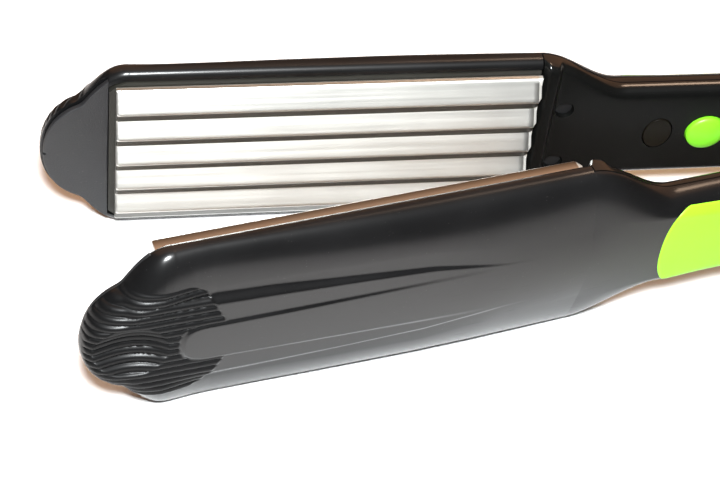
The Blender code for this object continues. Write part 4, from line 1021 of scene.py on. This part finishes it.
IN_EACH_ARM = {"plate_carrier": RESIN, "heater": CERAMIC, "heater_clip": STEEL,
               "upper_lead": SLEEVE, "lower_lead": SLEEVE, "upper_screw": BLACKED,
               "lower_screw": BLACKED}
INSIDE = {"indicator_led": EPOXY, "control_board": LAMINATE, "tact_switch": RESIN,
          "thermal_fuse": CERAMIC, "opening_spring": STEEL, "hinge_pin": STEEL}

for side in (REAR, FRONT):
    housing(side, BLACK)
    inner_cover(side, SATIN)
    tip_panel(side, CHARCOAL)
    crimp_plate(side, SILVER[side])
    grip_inlay(side, LIME)
    for piece, material in IN_EACH_ARM.items():
        painted(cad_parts[f"{NAMES[side]}_{piece}"], material)

power_button(KEY)
indicator_window(SMOKED)
cord_bushing(RUBBER)
hinge_cover(1, BLACK)
hinge_cover(-1, BLACK)
for piece, material in INSIDE.items():
    painted(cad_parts[piece], material)

# Floor, light and camera. AIM holds the camera's right, up and back directions

AIM = np.array([[0.965814, -0.240372, 0.097083], [0.112039, 0.724751, 0.679840],
                [-0.233775, -0.645722, 0.726906]])
EYE = np.array([-0.187172, -0.329415, 0.384761])
LENS = 102.566
SENSOR = 36
FLOOR_LEVEL = -0.0002
FLOOR_RADIUS = 4.0
# Centre and run of the paper's painted fall-off of light
BRIGHT_CENTRE = (-0.075, -0.005, 0.0)
BRIGHT_RUN = (0.05, 0.36)
MIDDLE = np.array([0.0, 0.0, 0.02])
FLASH_RIGHT, FLASH_UP = 0.015, 0.080
CEILING = 1.2


def floor(material):
    """Flat disc just below the object, its rings set by the square of the ring number."""
    ring = np.linspace(0, 1, 24)[:, None] ** 2 * FLOOR_RADIUS
    turn = np.linspace(0, 2 * pi, 96, endpoint=False)[None, :]
    points = np.stack([ring * np.cos(turn), ring * np.sin(turn), 0 * ring * turn + FLOOR_LEVEL],
                      axis=-1)
    item = solid_grid("floor", points, caps=False)
    if item.data.polygons[-1].normal.z < 0:
        item.data.flip_normals()
    painted(item, material)


def paper():
    """Pale paper. Away from the object it darkens in reflections, not to the camera: a painted
    pool of light that falls off round the object.
    """
    material, tree, shader, where = surface("pale_paper")
    grains = placed(tree, GRAIN, where, Scale=300.0)
    tone = mix(tree, grains.outputs["Patches"], (0.90, 0.90, 0.90), (0.88, 0.88, 0.88))
    away = node(tree, 'ShaderNodeVectorMath', [(0, where)], operation='DISTANCE')
    away.inputs[1].default_value = BRIGHT_CENTRE
    far = ramp(tree, away.outputs["Value"], *BRIGHT_RUN)
    seen = node(tree, 'ShaderNodeLightPath')
    hidden = node(tree, 'ShaderNodeMath', [(1, seen.outputs["Is Camera Ray"])],
                  operation='SUBTRACT')
    hidden.inputs[0].default_value = 1.0
    dimmed = node(tree, 'ShaderNodeMath', [(0, far), (1, hidden.outputs[0])],
                  operation='MULTIPLY')
    # Painted shade: away from the bright centre the paper's colour goes to dark grey, in
    # reflections only
    shade = mix(tree, dimmed.outputs[0], tone, (0.03, 0.03, 0.03))
    tree.links.new(shade, shader.inputs["Base Color"])
    shader.inputs["Roughness"].default_value = 0.9
    shader.inputs["Specular IOR Level"].default_value = 0.0
    return material


def lamp(name, location, size, power, colour, size_y=None):
    """Square or oblong lamp that faces the object."""
    data = bpy.data.lights.new(name, 'AREA')
    data.energy, data.color, data.size = power, colour, size
    if size_y:
        data.shape, data.size_y = 'RECTANGLE', size_y
    item = bpy.data.objects.new(name, data)
    bpy.context.scene.collection.objects.link(item)
    item.location = location
    item.rotation_euler = Vector(location - MIDDLE).to_track_quat('Z', 'Y').to_euler()


def dim_room():
    """Dark surroundings in reflections, and a white backdrop to the camera."""
    world = bpy.data.worlds.new("dim_room")
    world.use_nodes = True
    tree = world.node_tree
    dark = next(n for n in tree.nodes if n.type == 'BACKGROUND')
    dark.inputs["Color"].default_value = (0.012, 0.011, 0.009, 1.0)
    white = node(tree, 'ShaderNodeBackground', in_Color=(1.0, 1.0, 1.0, 1.0))
    seen = node(tree, 'ShaderNodeLightPath')
    both = node(tree, 'ShaderNodeMixShader', [(0, seen.outputs["Is Camera Ray"]),
                                              (1, dark.outputs[0]), (2, white.outputs[0])])
    out = next(n for n in tree.nodes if n.type == 'OUTPUT_WORLD')
    tree.links.new(both.outputs[0], out.inputs["Surface"])
    return world


def photo_camera():
    """Camera at the photograph's angle."""
    data = bpy.data.cameras.new("photo_angle")
    data.sensor_width, data.lens = SENSOR, LENS
    camera = bpy.data.objects.new("photo_angle", data)
    bpy.context.scene.collection.objects.link(camera)
    turn = Matrix(AIM.T.tolist()).to_4x4()
    camera.matrix_world = Matrix.Translation(EYE.tolist()) @ turn
    return camera


floor(paper())
lamp("flash", EYE + AIM[0] * FLASH_RIGHT + AIM[1] * FLASH_UP, 0.085, 7.5,
     (0.955, 0.985, 1.0))
lamp("warm_ceiling", MIDDLE + CEILING * np.array([0.234, 0.646, 0.727]), 3.0, 13.5,
     (1.0, 0.50, 0.26), 2.0)
lamp("ceiling_bulb", MIDDLE + CEILING * np.array([0.36, 0.24, 0.90]), 0.28, 3.5,
     (1.0, 0.72, 0.52))
bpy.context.scene.world = dim_room()
bpy.context.scene.view_settings.view_transform = 'Standard'
bpy.context.scene.camera = photo_camera()
